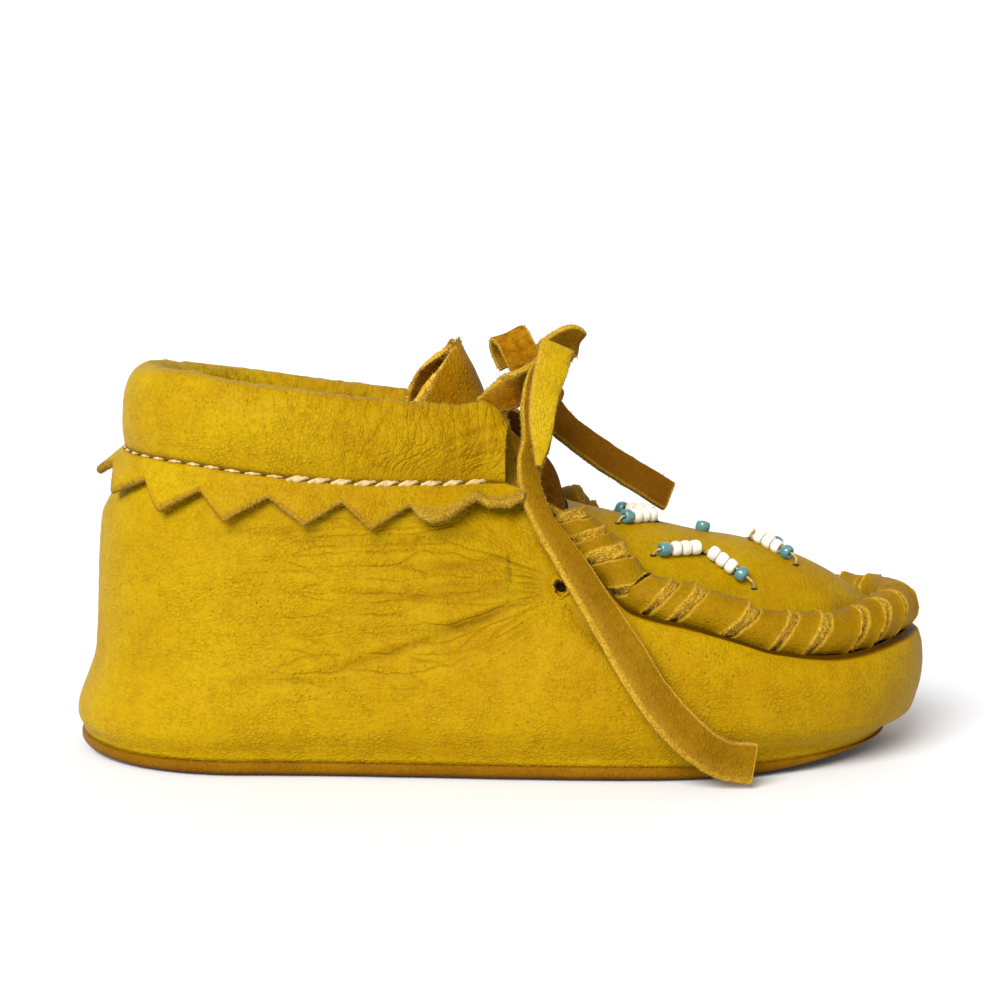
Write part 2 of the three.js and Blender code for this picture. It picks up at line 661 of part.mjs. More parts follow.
addPiece("sole", geometryOf(soleSolid()), FINISH.soleHide);
addPiece("upper", geometryOf(upperSolid()), FINISH.hide);
addPiece("vamp", geometryOf(vampSolid()), FINISH.hide);
addPiece("tongue", geometryOf(tongueSolid()), FINISH.tongueHide);
addPiece("cuff", geometryOf(cuffSolid()), FINISH.hide);
addPiece("whipped_seam", geometryOf(whippedSeamSolid()), FINISH.hide);
addPiece("lace_knot", geometryOf(knotSolid()), FINISH.laceHide);
addPiece("lace_loop_near", geometryOf(stripSolid(LOOP_NEAR, LACE.loopSteps)), FINISH.laceHide);
addPiece("lace_loop_far", geometryOf(stripSolid(LOOP_FAR, LACE.loopSteps)), FINISH.laceHide);
addPiece("lace_end_near", geometryOf(stripSolid(END_NEAR, LACE.nearSteps)), FINISH.laceHide);
addPiece("lace_end_far", geometryOf(stripSolid(END_FAR, LACE.farSteps)), FINISH.laceHide);
addBeadRows();

export default moccasin;
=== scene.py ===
import math

import bpy
import numpy as np
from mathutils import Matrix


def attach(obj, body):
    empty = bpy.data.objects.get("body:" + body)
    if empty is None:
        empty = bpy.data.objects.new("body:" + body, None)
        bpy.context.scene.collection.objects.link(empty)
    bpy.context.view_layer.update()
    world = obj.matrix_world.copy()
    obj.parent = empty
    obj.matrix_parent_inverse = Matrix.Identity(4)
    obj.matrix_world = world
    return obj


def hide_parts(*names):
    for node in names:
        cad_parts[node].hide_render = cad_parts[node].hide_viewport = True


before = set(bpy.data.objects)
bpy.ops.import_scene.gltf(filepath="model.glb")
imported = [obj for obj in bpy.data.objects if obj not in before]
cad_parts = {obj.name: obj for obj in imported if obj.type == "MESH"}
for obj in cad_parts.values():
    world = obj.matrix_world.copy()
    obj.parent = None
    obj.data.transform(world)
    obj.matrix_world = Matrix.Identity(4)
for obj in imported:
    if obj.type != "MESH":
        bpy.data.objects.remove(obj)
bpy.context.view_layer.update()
print("frame loaded")

# Lengths are millimetres in the frame of the CAD part, and addMesh writes metres
millimetre = 0.001
hide = 1.4  # thickness of upper, vamp and tongue
gap = 0.3  # room between pieces that lie on each other
ownShare = 0.6  # of a colour in the photo that is the hide's own; the key light makes up the rest


def srgb(red, green, blue):
    # Colour as a picture gives it, to the linear values that a shader takes
    c = np.array([red, green, blue]) / 255
    linear = np.where(c <= 0.04045, c / 12.92, ((c + 0.055) / 1.055) ** 2.4)
    return (*linear.tolist(), 1.0)


def tint(red, green, blue):
    # Colour as it looks in the photo under the key light, brought down to the hide's own colour
    return (*(ownShare * np.array(srgb(red, green, blue)[:3])).tolist(), 1.0)


def unit(v):
    # Directions of vectors, at length 1
    return v / np.maximum(np.linalg.norm(v, axis=-1, keepdims=True), 1e-9)


def squareTo(v, along):
    # Direction of v without its share along a unit vector
    return unit(v - np.sum(v * along, axis=-1, keepdims=True) * along)


def xyz(x, y, z):
    # Points from their three coordinates, spread to one shape
    return np.stack(np.broadcast_arrays(x, y, z), axis=-1)


def ease(low, high, at):
    # Smooth step: 0 up to low, 1 from high on
    f = np.clip((at - low) / (high - low), 0, 1)
    return f * f * (3 - 2 * f)


def bell(distance, width):
    # Bump that is 1 in the middle: e to the minus square of the distance in widths
    return np.exp(-((distance / width) ** 2))


def power(value, exponent):
    # Power that keeps the sign
    return np.sign(value) * np.abs(value) ** exponent


def circle(count):
    # Even angles once round
    return 2 * np.pi * np.arange(count) / count


def turned(angle, first, second):
    # Directions at each angle from first towards second, one ring for each row of them
    return np.cos(angle)[:, None] * first[..., None, :] + np.sin(angle)[:, None] * second[..., None, :]


lattice = np.random.default_rng(11).random((32, 32, 32)) * 2 - 1


def noise(points, cell, octaves=1):
    # Value noise, -1 to 1: random values on a lattice of that cell, eased between its corners
    total = np.zeros(points.shape[:-1])
    for octave in range(octaves):
        p = points / cell * 2**octave + 7.3 * octave
        low = np.floor(p).astype(int)
        w = ease(0, 1, p - low)
        for corner in range(8):
            bits = np.array([corner & 1, corner >> 1 & 1, corner >> 2])
            weight = np.prod(np.where(bits, w, 1 - w), axis=-1)
            at = (low + bits) % 32
            total += lattice[at[..., 0], at[..., 1], at[..., 2]] * weight / 2**octave
    return total


def smooth(keys, values, at, levelEnds=False):
    # Cubic through rows that never overshoots: each slope is the harmonic mean of the chords beside it
    chord = np.diff(values) / np.diff(keys)
    before = chord[..., :-1]
    after = chord[..., 1:]
    total = np.where(before + after == 0, 1, before + after)
    inner = np.where(before * after > 0, 2 * before * after / total, 0)
    ends = 0 if levelEnds else 1
    slope = np.concatenate([ends * chord[..., :1], inner, ends * chord[..., -1:]], axis=-1)
    key = np.clip(at, keys[..., :1], keys[..., -1:])
    i = np.sum(key[..., :, None] > keys[..., None, 1:-1], axis=-1)

    def pick(rows, k):
        return np.take_along_axis(rows, k, axis=-1)

    span = pick(keys, i + 1) - pick(keys, i)
    f = (key - pick(keys, i)) / span
    rise = f * f * (3 - 2 * f)
    start = f * (1 - f) ** 2 * pick(slope, i)
    end = f * f * (f - 1) * pick(slope, i + 1)
    return pick(values, i) * (1 - rise) + pick(values, i + 1) * rise + span * (start + end)


def throughPoints(points, at):
    # Centripetal Catmull-Rom curve through points [..., k, axes] at shares of its spans
    points = np.asarray(points, float)
    first = 2 * points[..., :1, :] - points[..., 1:2, :]
    last = 2 * points[..., -1:, :] - points[..., -2:-1, :]
    p = np.concatenate([first, points, last], axis=-2)
    spans = points.shape[-2] - 1
    u = np.clip(at, 0, 1) * spans
    i = np.minimum(u.astype(int), spans - 1)
    f = (u - i)[:, None]
    a, b, c, d = (p[..., i + k, :] for k in range(4))
    chords = (b - a, c - b, d - c)
    ab, bc, cd = (np.sqrt(np.linalg.norm(v, axis=-1, keepdims=True)) + 1e-9 for v in chords)
    leave = ((b - a) / ab - (c - a) / (ab + bc) + (c - b) / bc) * bc
    arrive = ((c - b) / bc - (d - b) / (bc + cd) + (d - c) / cd) * bc
    rise = f * f * (3 - 2 * f)
    return b * (1 - rise) + c * rise + f * (1 - f) ** 2 * leave + f * f * (f - 1) * arrive


def lengthAlong(points):
    # Length of a line of points, from its start to each of them
    steps = np.linalg.norm(np.diff(points, axis=0), axis=1)
    return np.concatenate([[0], np.cumsum(steps)])


def onLine(at, lengths, points):
    # Values of the rows of points, read at these lengths along their line
    return np.stack([np.interp(at, lengths, points[:, k]) for k in range(3)], axis=-1)


def gridFaces(rows, columns, wrapRows=False, wrapColumns=False):
    # Quads of a grid of points, joined round where it wraps
    i = np.arange(rows if wrapRows else rows - 1)[:, None]
    j = np.arange(columns if wrapColumns else columns - 1)[None, :]
    i2 = (i + 1) % rows
    j2 = (j + 1) % columns
    quads = np.stack([i * columns + j, i2 * columns + j, i2 * columns + j2, i * columns + j2], axis=-1)
    return quads.reshape(-1, 4)


def gridNormals(points, wrapRows=False, wrapColumns=False):
    # Direction square to a grid surface: cross product of its two central differences
    def slope(axis, wrap):
        if wrap:
            return (np.roll(points, -1, axis) - np.roll(points, 1, axis)) / 2
        return np.gradient(points, axis=axis)

    return unit(np.cross(slope(0, wrapRows), slope(1, wrapColumns)))


def signedVolume(points, faceSets):
    # Six times the volume inside the faces, below zero where they point inwards
    total = 0
    for faces in faceSets:
        for k in range(1, faces.shape[1] - 1):
            a, b, c = (points[faces[:, n]] for n in (0, k, k + 1))
            total += np.sum(a * np.cross(b, c))
    return total


def addMesh(name, points, faceSets, material, **attributes):
    # One object from arrays, faces turned outwards, with values per point for its material
    flat = points.reshape(-1, 3)
    if signedVolume(flat - flat.mean(axis=0), faceSets) < 0:
        faceSets = [faces[:, ::-1] for faces in faceSets]
    corners = np.concatenate([faces.ravel() for faces in faceSets])
    sizes = np.concatenate([np.full(len(faces), faces.shape[1]) for faces in faceSets])
    mesh = bpy.data.meshes.new(name)
    mesh.vertices.add(len(flat))
    mesh.vertices.foreach_set("co", (flat * millimetre).ravel())
    mesh.loops.add(len(corners))
    mesh.loops.foreach_set("vertex_index", corners)
    mesh.polygons.add(len(sizes))
    mesh.polygons.foreach_set("loop_start", np.cumsum(sizes) - sizes)
    mesh.polygons.foreach_set("use_smooth", np.ones(len(sizes), bool))
    for key, values in attributes.items():
        layer = mesh.attributes.new(key, "FLOAT", "POINT")
        layer.data.foreach_set("value", np.broadcast_to(values, points.shape[:-1]).ravel().astype(np.float32))
    mesh.update(calc_edges=True)
    mesh.validate()
    mesh.materials.append(material)
    piece = bpy.data.objects.new(name, mesh)
    bpy.context.scene.collection.objects.link(piece)
    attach(piece, "root")
    return piece


def addPiece(name, points, finish, slot, node=None, closed=False, **attributes):
    # Tubes [..., rows, columns, 3] in one mesh: columns go round, rows end in caps or, when closed, meet too
    *many, rows, columns, _ = points.shape
    faceSets = [gridFaces(rows, columns, wrapRows=closed, wrapColumns=True)]
    if not closed:
        ends = np.arange(columns)
        faceSets.append(np.stack([ends[::-1], ends + (rows - 1) * columns]))
    starts = rows * columns * np.arange(math.prod(many))[:, None, None]
    faceSets = [(faces[None] + starts).reshape(-1, faces.shape[1]) for faces in faceSets]
    piece = addMesh(name, points, faceSets, materials[finish], **attributes)
    if node:
        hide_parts(node)
    return piece


# Camera at the photo's angle: slightly above, square to the near side
view = {"distance": 260, "height": 64, "downDegrees": 6.2, "focalPixels": 1752, "imagePixels": 1000}
lens = bpy.data.cameras.new("photoCamera")
lens.sensor_width = 36
lens.lens = lens.sensor_width * view["focalPixels"] / view["imagePixels"]
lens.clip_start = 0.01
camera = bpy.data.objects.new("photoCamera", lens)
camera.location = (0, -view["distance"] * millimetre, view["height"] * millimetre)
camera.rotation_euler = (math.radians(90 - view["downDegrees"]), 0, 0)
bpy.context.scene.collection.objects.link(camera)
bpy.context.scene.camera = camera
bpy.context.scene.view_settings.view_transform = "Standard"


# Materials, on object coordinates in millimetres
class Nodes:
    # Short way to add nodes to one material or world and link them
    def __init__(self, owner):
        owner.use_nodes = True
        self.owner = owner
        self.tree = owner.node_tree

    def set(self, socket, value):
        if isinstance(value, bpy.types.NodeSocket):
            self.tree.links.new(value, socket)
        else:
            socket.default_value = value

    def add(self, kind, inputs, output=0, **settings):
        node = self.tree.nodes.new("ShaderNode" + kind)
        for key, value in settings.items():
            setattr(node, key, value)
        for key, value in inputs.items():
            self.set(node.inputs[key], value)
        return node.outputs[output]

    def attribute(self, name):
        return self.add("Attribute", {}, "Fac", attribute_name=name)

    def math(self, operation, a, b):
        return self.add("Math", {0: a, 1: b}, operation=operation)

    def plus(self, a, b):
        return self.math("ADD", a, b)

    def times(self, a, b):
        return self.math("MULTIPLY", a, b)

    def scaled(self, place, factors):
        return self.add("VectorMath", {0: place, 1: factors}, operation="MULTIPLY")

    def shifted(self, place, push, factors):
        inputs = {0: push, 1: factors, 2: place}
        return self.add("VectorMath", inputs, operation="MULTIPLY_ADD")

    def coordinates(self):
        return self.scaled(self.add("TexCoord", {}, "Object"), (1000, 1000, 1000))

    def ramp(self, value, low, high, start=0.0, end=1.0, kind="SMOOTHSTEP"):
        inputs = {"Value": value, "From Min": low, "From Max": high, "To Min": start, "To Max": end}
        return self.add("MapRange", inputs, interpolation_type=kind)

    def noise(self, place, scale, detail=2.0, output="Fac"):
        return self.add("TexNoise", {"Vector": place, "Scale": scale, "Detail": detail}, output)

    def cells(self, place, scale=1.0, feature="DISTANCE_TO_EDGE"):
        return self.add("TexVoronoi", {"Vector": place, "Scale": scale}, "Distance", feature=feature)

    def groove(self, edges, width, share):
        # Below zero near the edges of cells, as deep as the share
        return self.times(self.math("SUBTRACT", self.ramp(edges, 0.0, width), 1.0), share)

    def mix(self, share, a, b):
        node = self.tree.nodes.new("ShaderNodeMix")
        node.data_type = "RGBA"
        for key, value in (("Factor", share), ("A", a), ("B", b)):
            self.set(node.inputs[key], value)
        return node.outputs["Result"]

    def finish(self, colour, roughness, height=None, strength=0.5, depth=0.2, **constants):
        shader = self.tree.nodes["Principled BSDF"]
        self.set(shader.inputs["Base Color"], colour)
        self.set(shader.inputs["Roughness"], roughness)
        for key, value in constants.items():
            shader.inputs[key].default_value = value
        if height is not None:
            inputs = {"Height": height, "Strength": strength, "Distance": depth * millimetre}
            self.set(shader.inputs["Normal"], self.add("Bump", inputs, "Normal"))
        return self.owner


# Scales are patches a millimetre, heights are shares of the bump's depth, colours are the photo's
grain = {
    "warpScale": 0.7, "warp": 0.9, "speckleScale": 2.6, "pebbleScale": 1.0, "mottleScale": 0.11,
    "fibreScale": 3.6, "napScale": 0.9, "poreScale": 0.8, "speckle": 0.8, "pebble": 0.4, "thinLine": 0.8,
    "softLine": 1.0, "fibres": 2.4, "bump": 0.8, "bumpDepth": 0.2, "grainRoughness": 0.46,
    # Shade tones below are painted shade for grain and flesh side; the deepest one is almost black
    "rawRoughness": 0.95, "gloss": 0.035, "pore": (110, 68, 6), "shadeTone": (92, 50, 3),
    "fleshShadeTone": (96, 44, 6), "deepestShade": (30, 14, 3), "nap": ((160, 100, 8), (198, 138, 16)),
    "wool": ((164, 122, 18), (206, 169, 62)), "heelX": -62,
}


def hideMaterial(name, *tones, cell=(0.8, 0.8), depth=0.35, pores=0.0, lines=None, raw=1.0, fade=None):
    # Full-grain hide: pillowed cells, thin wrinkle lines, fine speckle, mottled colour, painted shade in
    # hollows and creases; raw edges (cut) and the flesh side (flesh) are brown, rough and fibrous.
    # Cell is its width and height, raw how light the fibres are; lines is the spacing, length and depth of
    # wrinkles that follow the piece's own attributes across, along and gathered; fade is the x where the
    # painted light towards the heel, in the light tone, has given way to the middle one
    light, middle, dark = (tint(*tone) for tone in tones)
    n = Nodes(bpy.data.materials.new(name))
    place = n.coordinates()
    warp = n.noise(place, grain["warpScale"], 2.0, "Color")
    warped = n.shifted(place, warp, [grain["warp"]] * 3)
    edges = n.cells(n.scaled(warped, (1 / cell[0], 1 / cell[0], 1 / cell[1])))
    speckle = n.noise(place, grain["speckleScale"], 5.0)
    pebble = n.noise(place, grain["pebbleScale"], 3.0)
    broken = n.ramp(n.noise(place, 0.3), 0.36, 0.6, 0.25, 1.0)
    wrinkle = n.groove(edges, 0.24, broken)
    height = n.plus(n.times(wrinkle, depth), n.times(speckle, grain["speckle"]))
    height = n.plus(height, n.times(pebble, grain["pebble"]))
    share = n.ramp(n.noise(place, grain["mottleScale"], 3.0), 0.34, 0.66)
    # Painted light: towards the heel the light tone takes over, where the key light falls strongest
    if fade is not None:
        east = n.add("SeparateXYZ", {0: place}, "X")
        share = n.plus(n.times(share, 0.4), n.ramp(east, grain["heelX"], fade, 0.6, 0.0))
    colour = n.mix(share, middle, light)
    # Painted shade in the hollows: darker at the low points of the speckle and pebble bumps and in the
    # grooves at cell edges
    colour = n.mix(n.ramp(speckle, 0.56, 0.3, 0.0, 0.38), colour, dark)
    colour = n.mix(n.ramp(pebble, 0.56, 0.34, 0.0, 0.22), colour, dark)
    colour = n.mix(n.times(wrinkle, -0.3 * depth), colour, dark)
    if lines:
        spacing, length, strength = lines
        run = n.add("CombineXYZ", {0: n.attribute("across"), 1: n.attribute("along")})
        run = n.shifted(run, n.noise(place, 0.35, 3.0, "Color"), (1.2, 1.2, 0))
        net = n.cells(n.scaled(run, (1 / spacing, 1 / length, 0)))
        here = n.ramp(n.noise(place, 0.17), 0.36, 0.62, 0.28, strength)
        gathered = n.times(n.attribute("gathered"), here)
        thinLine = n.groove(net, 0.075, gathered)
        softLine = n.groove(net, 0.36, gathered)
        both = n.plus(n.times(thinLine, grain["thinLine"]), n.times(softLine, grain["softLine"]))
        height = n.plus(height, both)
        # Painted shade in the thin wrinkle lines
        colour = n.mix(n.times(thinLine, -0.5), colour, dark)
    if pores:
        dots = n.ramp(n.cells(place, grain["poreScale"], "F1"), 0.08, 0.17, pores, 0.0)
        few = n.ramp(n.noise(place, 0.05, 1.0), 0.42, 0.58)
        colour = n.mix(n.times(dots, few), colour, tint(*grain["pore"]))
    crease = n.attribute("crease")
    cut = n.attribute("cut")
    flesh = n.attribute("flesh")
    # Raw fibres: paler where the fibre bump stands high and darker between, the fibres' own pale colour and
    # painted shade in the hollows
    fibres = n.noise(place, grain["fibreScale"], 5.0)
    wool = n.mix(n.ramp(fibres, 0.34, 0.66), *(tint(*(raw * c for c in tone)) for tone in grain["wool"]))
    nap = n.ramp(n.noise(place, grain["napScale"], 4.0), 0.3, 0.7)
    nap = n.mix(nap, *(tint(*tone) for tone in grain["nap"]))
    # Painted shade: where the shade attribute is set the grain turns to the shade tone, the flesh side to its
    # own shade tone, and near 1 almost black
    colour = n.mix(crease, colour, tint(*grain["shadeTone"]))
    colour = n.mix(flesh, colour, n.mix(crease, nap, tint(*grain["fleshShadeTone"])))
    colour = n.mix(cut, colour, wool)
    colour = n.mix(n.ramp(crease, 0.8, 1.0), colour, tint(*grain["deepestShade"]))
    rough = n.math("MAXIMUM", cut, flesh)
    rawHeight = n.times(fibres, n.times(rough, grain["fibres"]))
    height = n.plus(n.times(height, n.math("SUBTRACT", 1.0, rough)), rawHeight)
    roughness = n.ramp(rough, 0.0, 1.0, grain["grainRoughness"], grain["rawRoughness"])
    gloss = {"Specular IOR Level": grain["gloss"]}
    return n.finish(colour, roughness, height, grain["bump"], grain["bumpDepth"], **gloss)


def plainMaterial(name, colour, other, scale, roughness, **constants):
    # Two close colours in soft patches, with a fine bump
    n = Nodes(bpy.data.materials.new(name))
    patches = n.noise(n.coordinates(), scale, 3.0)
    shade = n.mix(n.ramp(patches, 0.3, 0.7), colour, other)
    return n.finish(shade, roughness, patches, 0.15, 0.05, **constants)


hideTones = {
    # light, middle and dark tone as the photo shows them, then what differs from plain hide
    "upper": (
        (215, 178, 8), (199, 155, 4), (170, 119, 1),
        {"cell": (0.8, 0.55), "depth": 0.5, "pores": 0.5, "lines": (2.1, 12, 0.9), "fade": 10},
    ),
    "cuff": (
        (219, 184, 12), (197, 150, 5), (166, 111, 1),
        {"cell": (0.6, 0.7), "depth": 0.5, "pores": 0.4, "lines": (1.25, 4.4, 0.65), "raw": 1.08, "fade": 0},
    ),
    "vamp": ((206, 166, 7), (194, 151, 4), (166, 122, 1), {}),
    "seam": ((181, 138, 7), (169, 126, 5), (146, 102, 2), {"raw": 1.25}),
    "lace": ((168, 124, 6), (155, 111, 4), (128, 83, 2), {"cell": (0.6, 0.9), "depth": 0.45, "raw": 1.22}),
    "laceFold": (
        (230, 194, 30), (214, 174, 14), (180, 132, 4),
        {"cell": (0.6, 1), "depth": 0.45, "raw": 1.18},
    ),
    "laceFlesh": ((200, 154, 10), (186, 139, 6), (154, 106, 2), {"raw": 1.25}),
    # Far lace end: the lace painted darker, a shaded copy of it for the side turned away from the light
    "laceFarShaded": ((150, 99, 7), (138, 87, 5), (117, 68, 3), {}),
    "tongue": ((203, 146, 8), (187, 128, 5), (152, 94, 2), {"cell": (0.6, 0.8), "depth": 0.45, "raw": 1.4}),
    # Sole: the upper's hide painted darker, as shade falls on the low strip
    "sole": ((163, 114, 7), (150, 101, 4), (122, 77, 3), {}),
}
materials = {key: hideMaterial(key + "Hide", *tones, **rest) for key, (*tones, rest) in hideTones.items()}
glaze = {"Coat Weight": 0.3}
materials.update({
    "fibre": plainMaterial("hideFibre", tint(222, 184, 84), tint(180, 134, 36), 1.4, 0.95),
    "thread": plainMaterial("stitchThread", tint(248, 224, 168), tint(222, 184, 108), 1.6, 0.75),
    "beadThread": plainMaterial("beadThread", tint(240, 216, 156), tint(200, 160, 80), 2.0, 0.8),
    # Pin and stitch holes: dark colours of painted shade where the holes are
    "hole": plainMaterial("pinHole", tint(60, 34, 8), tint(80, 46, 10), 2.0, 0.95),
    "stitchHole": plainMaterial("stitchHole", tint(136, 88, 8), tint(104, 62, 6), 2.0, 0.95),
    "white": plainMaterial("whiteGlass", srgb(232, 229, 218), srgb(222, 218, 204), 0.5, 0.2, **glaze),
    "blue": plainMaterial("blueGlass", tint(112, 168, 172), tint(90, 148, 154), 0.6, 0.18, **glaze),
})
print("materials made")

# Lace: routes after the photo, each row the middle of the strip and the way its width points
lace = {
    "width": 5.2, "farWidth": 5.0, "thickness": 1.3, "crown": 0.108, "around": 28, "ragged": 0.035,
    "raggedCell": 2.2, "lumps": 0.1, "lumpCell": 2.0, "widePower": 0.32, "thickPower": 0.5,
}
endNear = [
    (8.6, -6.4, 55.6, 0.88, 0.1, -0.46), (8.6, -8.2, 57.0, 0.9, 0.1, -0.43),
    (6.6, -10.2, 55, 0.93, 0.05, -0.36), (5.4, -11.4, 50, 0.9, 0.4, -0.1),
    (5.1, -12.8, 45.6, 0.85, 0.5, 0), (4.0, -15.4, 41.4, 0.75, 0.6, 0.15),
    (5.3, -19.2, 36.2, 0.82, 0.45, 0.3), (10, -23.8, 29, 0.85, 0.3, 0.43),
    (15.8, -27.8, 20, 0.85, 0.2, 0.49), (21, -30.6, 12, 0.84, 0.1, 0.53), (26.2, -31.4, 6.6, 0.6, 0, 0.8),
    (30.0, -30.6, 4.1, 0.3, 0, 0.95), (34.0, -29.8, 3.4, 0.05, 0.05, 1),
]
foldFront = [
    (8.2, -7.8, 57.6, 0.92, 0.1, -0.38), (7.9, -10.2, 58.4, 0.92, 0.1, -0.38),
    (7.3, -12.2, 56, 0.93, 0.1, -0.34), (6.1, -13.4, 51.5, 0.96, 0.2, -0.2),
    (5.75, -14.4, 47.6, 0.96, 0.2, -0.15), (5.6, -15.2, 44.6, 0.96, 0.2, -0.1),
    (5.3, -15.8, 42.2, 0.96, 0.2, -0.1),
]
strapNear = [
    (-2.6, -8.4, 50.0, -0.2, -0.35, -0.9), (-0.6, -8.8, 51.2, -0.25, -0.25, -0.93),
    (1.6, -8.6, 52.4, -0.35, -0.1, -0.93), (3.6, -7.6, 54.2, -0.5, 0.0, -0.86),
    (5.4, -6.0, 56.0, -0.6, 0.1, -0.8),
]
endFar = [
    (3.2, 4.4, 54.2, 0.2, 0.6, 0.75), (6.3, 4.6, 50.7, 0.4, 0.6, 0.65), (9.4, 4.3, 46.8, 0.4, 0.6, 0.65),
    (13.8, 4.8, 43.3, 0.4, 0.6, 0.65), (18.5, 6.2, 40.1, 0.4, 0.6, 0.65), (26, 8.4, 35.4, 0.5, 0.5, 0.7),
]
loopNear = [
    (6.1, -1.2, 56.0, -0.45, -0.3, 0.84), (7.4, -0.3, 58.0, -0.25, -0.5, 0.83),
    (8.9, 0.4, 59.2, -0.05, -0.55, 0.83), (10.5, 1.0, 59.7, 0.15, -0.5, 0.85),
    (11.2, 1.6, 59.2, 0.3, -0.35, 0.88), (10.8, 2.5, 58.9, 0.3, -0.3, 0.9),
    (9.6, 3.0, 58.5, 0.2, -0.2, 0.95), (8.2, 2.6, 57.8, 0.1, -0.1, 1), (6.8, 1.2, 56.6, 0, 0, 1),
]
loopFar = [
    (4.5, -4.3, 55.1, 0.9, 0, 0.42), (3.1, -4.2, 57.5, 0.91, 0, 0.41), (1.8, -3, 59.9, 0.91, 0, 0.41),
    (1.1, -1, 60.1, 0.91, 0.1, 0.41), (1.1, -0.2, 58.2, 0.91, 0.1, 0.41),
    (2.2, -0.7, 56.2, 0.9, 0.1, 0.42),
]
leadFar = [
    (1.5, 11, 46.4, 0, 0, 1), (4.3, 7.6, 45.4, 0, 0, 1), (5.4, 2.6, 45.2, 0, 0.1, 1),
    (5.4, -2.6, 50.4, 0, 0.5, 0.87),
]
tailWidths = [
    (0, 2.2), (0.08, 3.0), (0.17, 5), (0.25, 5.4), (0.34, 4.6), (0.42, 3.5), (0.5, 3.1), (0.585, 4.3),
    (0.67, 5), (0.9, 5.4), (1, 5.6),
]
tailRaw = [(0, 0), (0.4, 0.05), (0.55, 0.75), (0.75, 0.75), (1, 0.5)]
foldWidths = [(0, 4.9), (0.35, 4.8), (0.5, 4.1), (0.67, 3.5), (0.83, 2.2), (0.97, 1.0), (1, 0.7)]
loopWidths = [(0, 5.0), (0.35, 4.6), (0.5, 4.2), (1, 4.0)]
strapWidths = [(0, 3.2), (0.3, 4.6), (0.55, 5.2), (0.8, 4.4), (1, 3.8)]
laceParts = {
    # route, steps, width, then the node it stands for, finish, painted shade and how raw its first edge is
    "laceEndNear": (endNear, 240, tailWidths, {"node": "lace_end_near", "rawEdge": tailRaw}),
    "laceEndFar": (endFar, 120, lace["farWidth"], {"node": "lace_end_far", "finish": "laceFarShaded"}),
    # The near loop's face turned down carries painted shade
    "laceLoopNear": (loopNear, 130, loopWidths, {"node": "lace_loop_near", "shade": 0.15}),
    "laceLoopFar": (loopFar, 90, lace["width"], {"node": "lace_loop_far"}),
    "laceFold": (foldFront, 110, foldWidths, {"finish": "laceFold", "rawEdge": 0.5}),
    # The strap is darker and redder: its redder flesh and painted shade
    "laceStrap": (strapNear, 90, strapWidths, {"finish": "laceFlesh", "shade": 0.45, "rawEdge": 0.95}),
    # The far lead is painted almost black, standing in for the deep shade in the throat
    "laceLeadFar": (leadFar, 60, lace["width"], {"shade": 0.9}),
}


def byShare(value, at):
    # One number, or rows of share and value, read at each share
    return np.interp(at, *np.array(value).T) if np.ndim(value) else np.full(len(at), value)


def stripGrid(route, steps, width, rawEdge):
    # Flat strip swept along a route: a long rounded section, crowned on the grain face, edges a little ragged
    route = np.array(route)
    at = np.linspace(0, 1, steps)
    centre = throughPoints(route[:, :3], at)
    along = unit(np.gradient(centre, axis=0))
    wide = squareTo(throughPoints(route[:, 3:], at), along)
    thick = unit(np.cross(along, wide))
    angle = circle(lace["around"])
    across = power(np.cos(angle), lace["widePower"])
    through = power(np.sin(angle), lace["thickPower"])
    half = byShare(width, at) / 2 * (1 + lace["ragged"] * noise(centre, lace["raggedCell"], 3))
    lift = through * lace["thickness"] / 2 + lace["crown"] * (1 - across**2)
    points = centre[:, None] + (half[:, None] * across)[..., None] * wide[:, None]
    points = points + lift[:, None] * thick[:, None]
    points = points + lace["lumps"] * noise(points, lace["lumpCell"], 2)[..., None] * thick[:, None]
    firstEdge = byShare(rawEdge, at)[:, None] * ease(-0.5, -0.85, across)
    cut = np.maximum(ease(0.86, 0.97, np.abs(across)), firstEdge)
    cut[[0, -1]] = 1
    return {"points": points, "centre": centre, "cut": cut, "flesh": 1 - ease(-0.6, 0.1, through)}


def addStrip(name, route, steps, width, node=None, finish="lace", shade=0.0, rawEdge=0.0):
    # One strip of lace as a piece, with the arrays that cords and fibres need
    strip = stripGrid(route, steps, width, rawEdge)
    values = {"cut": strip["cut"], "flesh": strip["flesh"], "crease": shade}
    return addPiece(name, strip["points"], finish, "lace_hide", node, **values), strip


lacePieces = {}
laceStrips = {}
for name, (*shape, options) in laceParts.items():
    lacePieces[name], laceStrips[name] = addStrip(name, *shape, **options)

# Knot: the lace wrapped once round the crossing, a closed band that leans forward, with lace inside it
knot = {
    "centre": (5.5, -3, 52), "radii": (2.9, 2.5, 3.0), "tightness": 0.86, "axis": (0.55, 0.25, 0.8),
    "halfWidth": 2.3, "halfThickness": 0.75, "crown": 0.35, "lumps": 0.22, "core": (2.3, 2.0, 2.5),
    "coreFolds": 0.35, "foldCell": (1.1, 2.6, 2.6), "steps": 96, "around": 24, "sway": 0.35, "lumpCell": 1.8,
    "rawFrom": 1.9, "rawTo": 2.25,
}


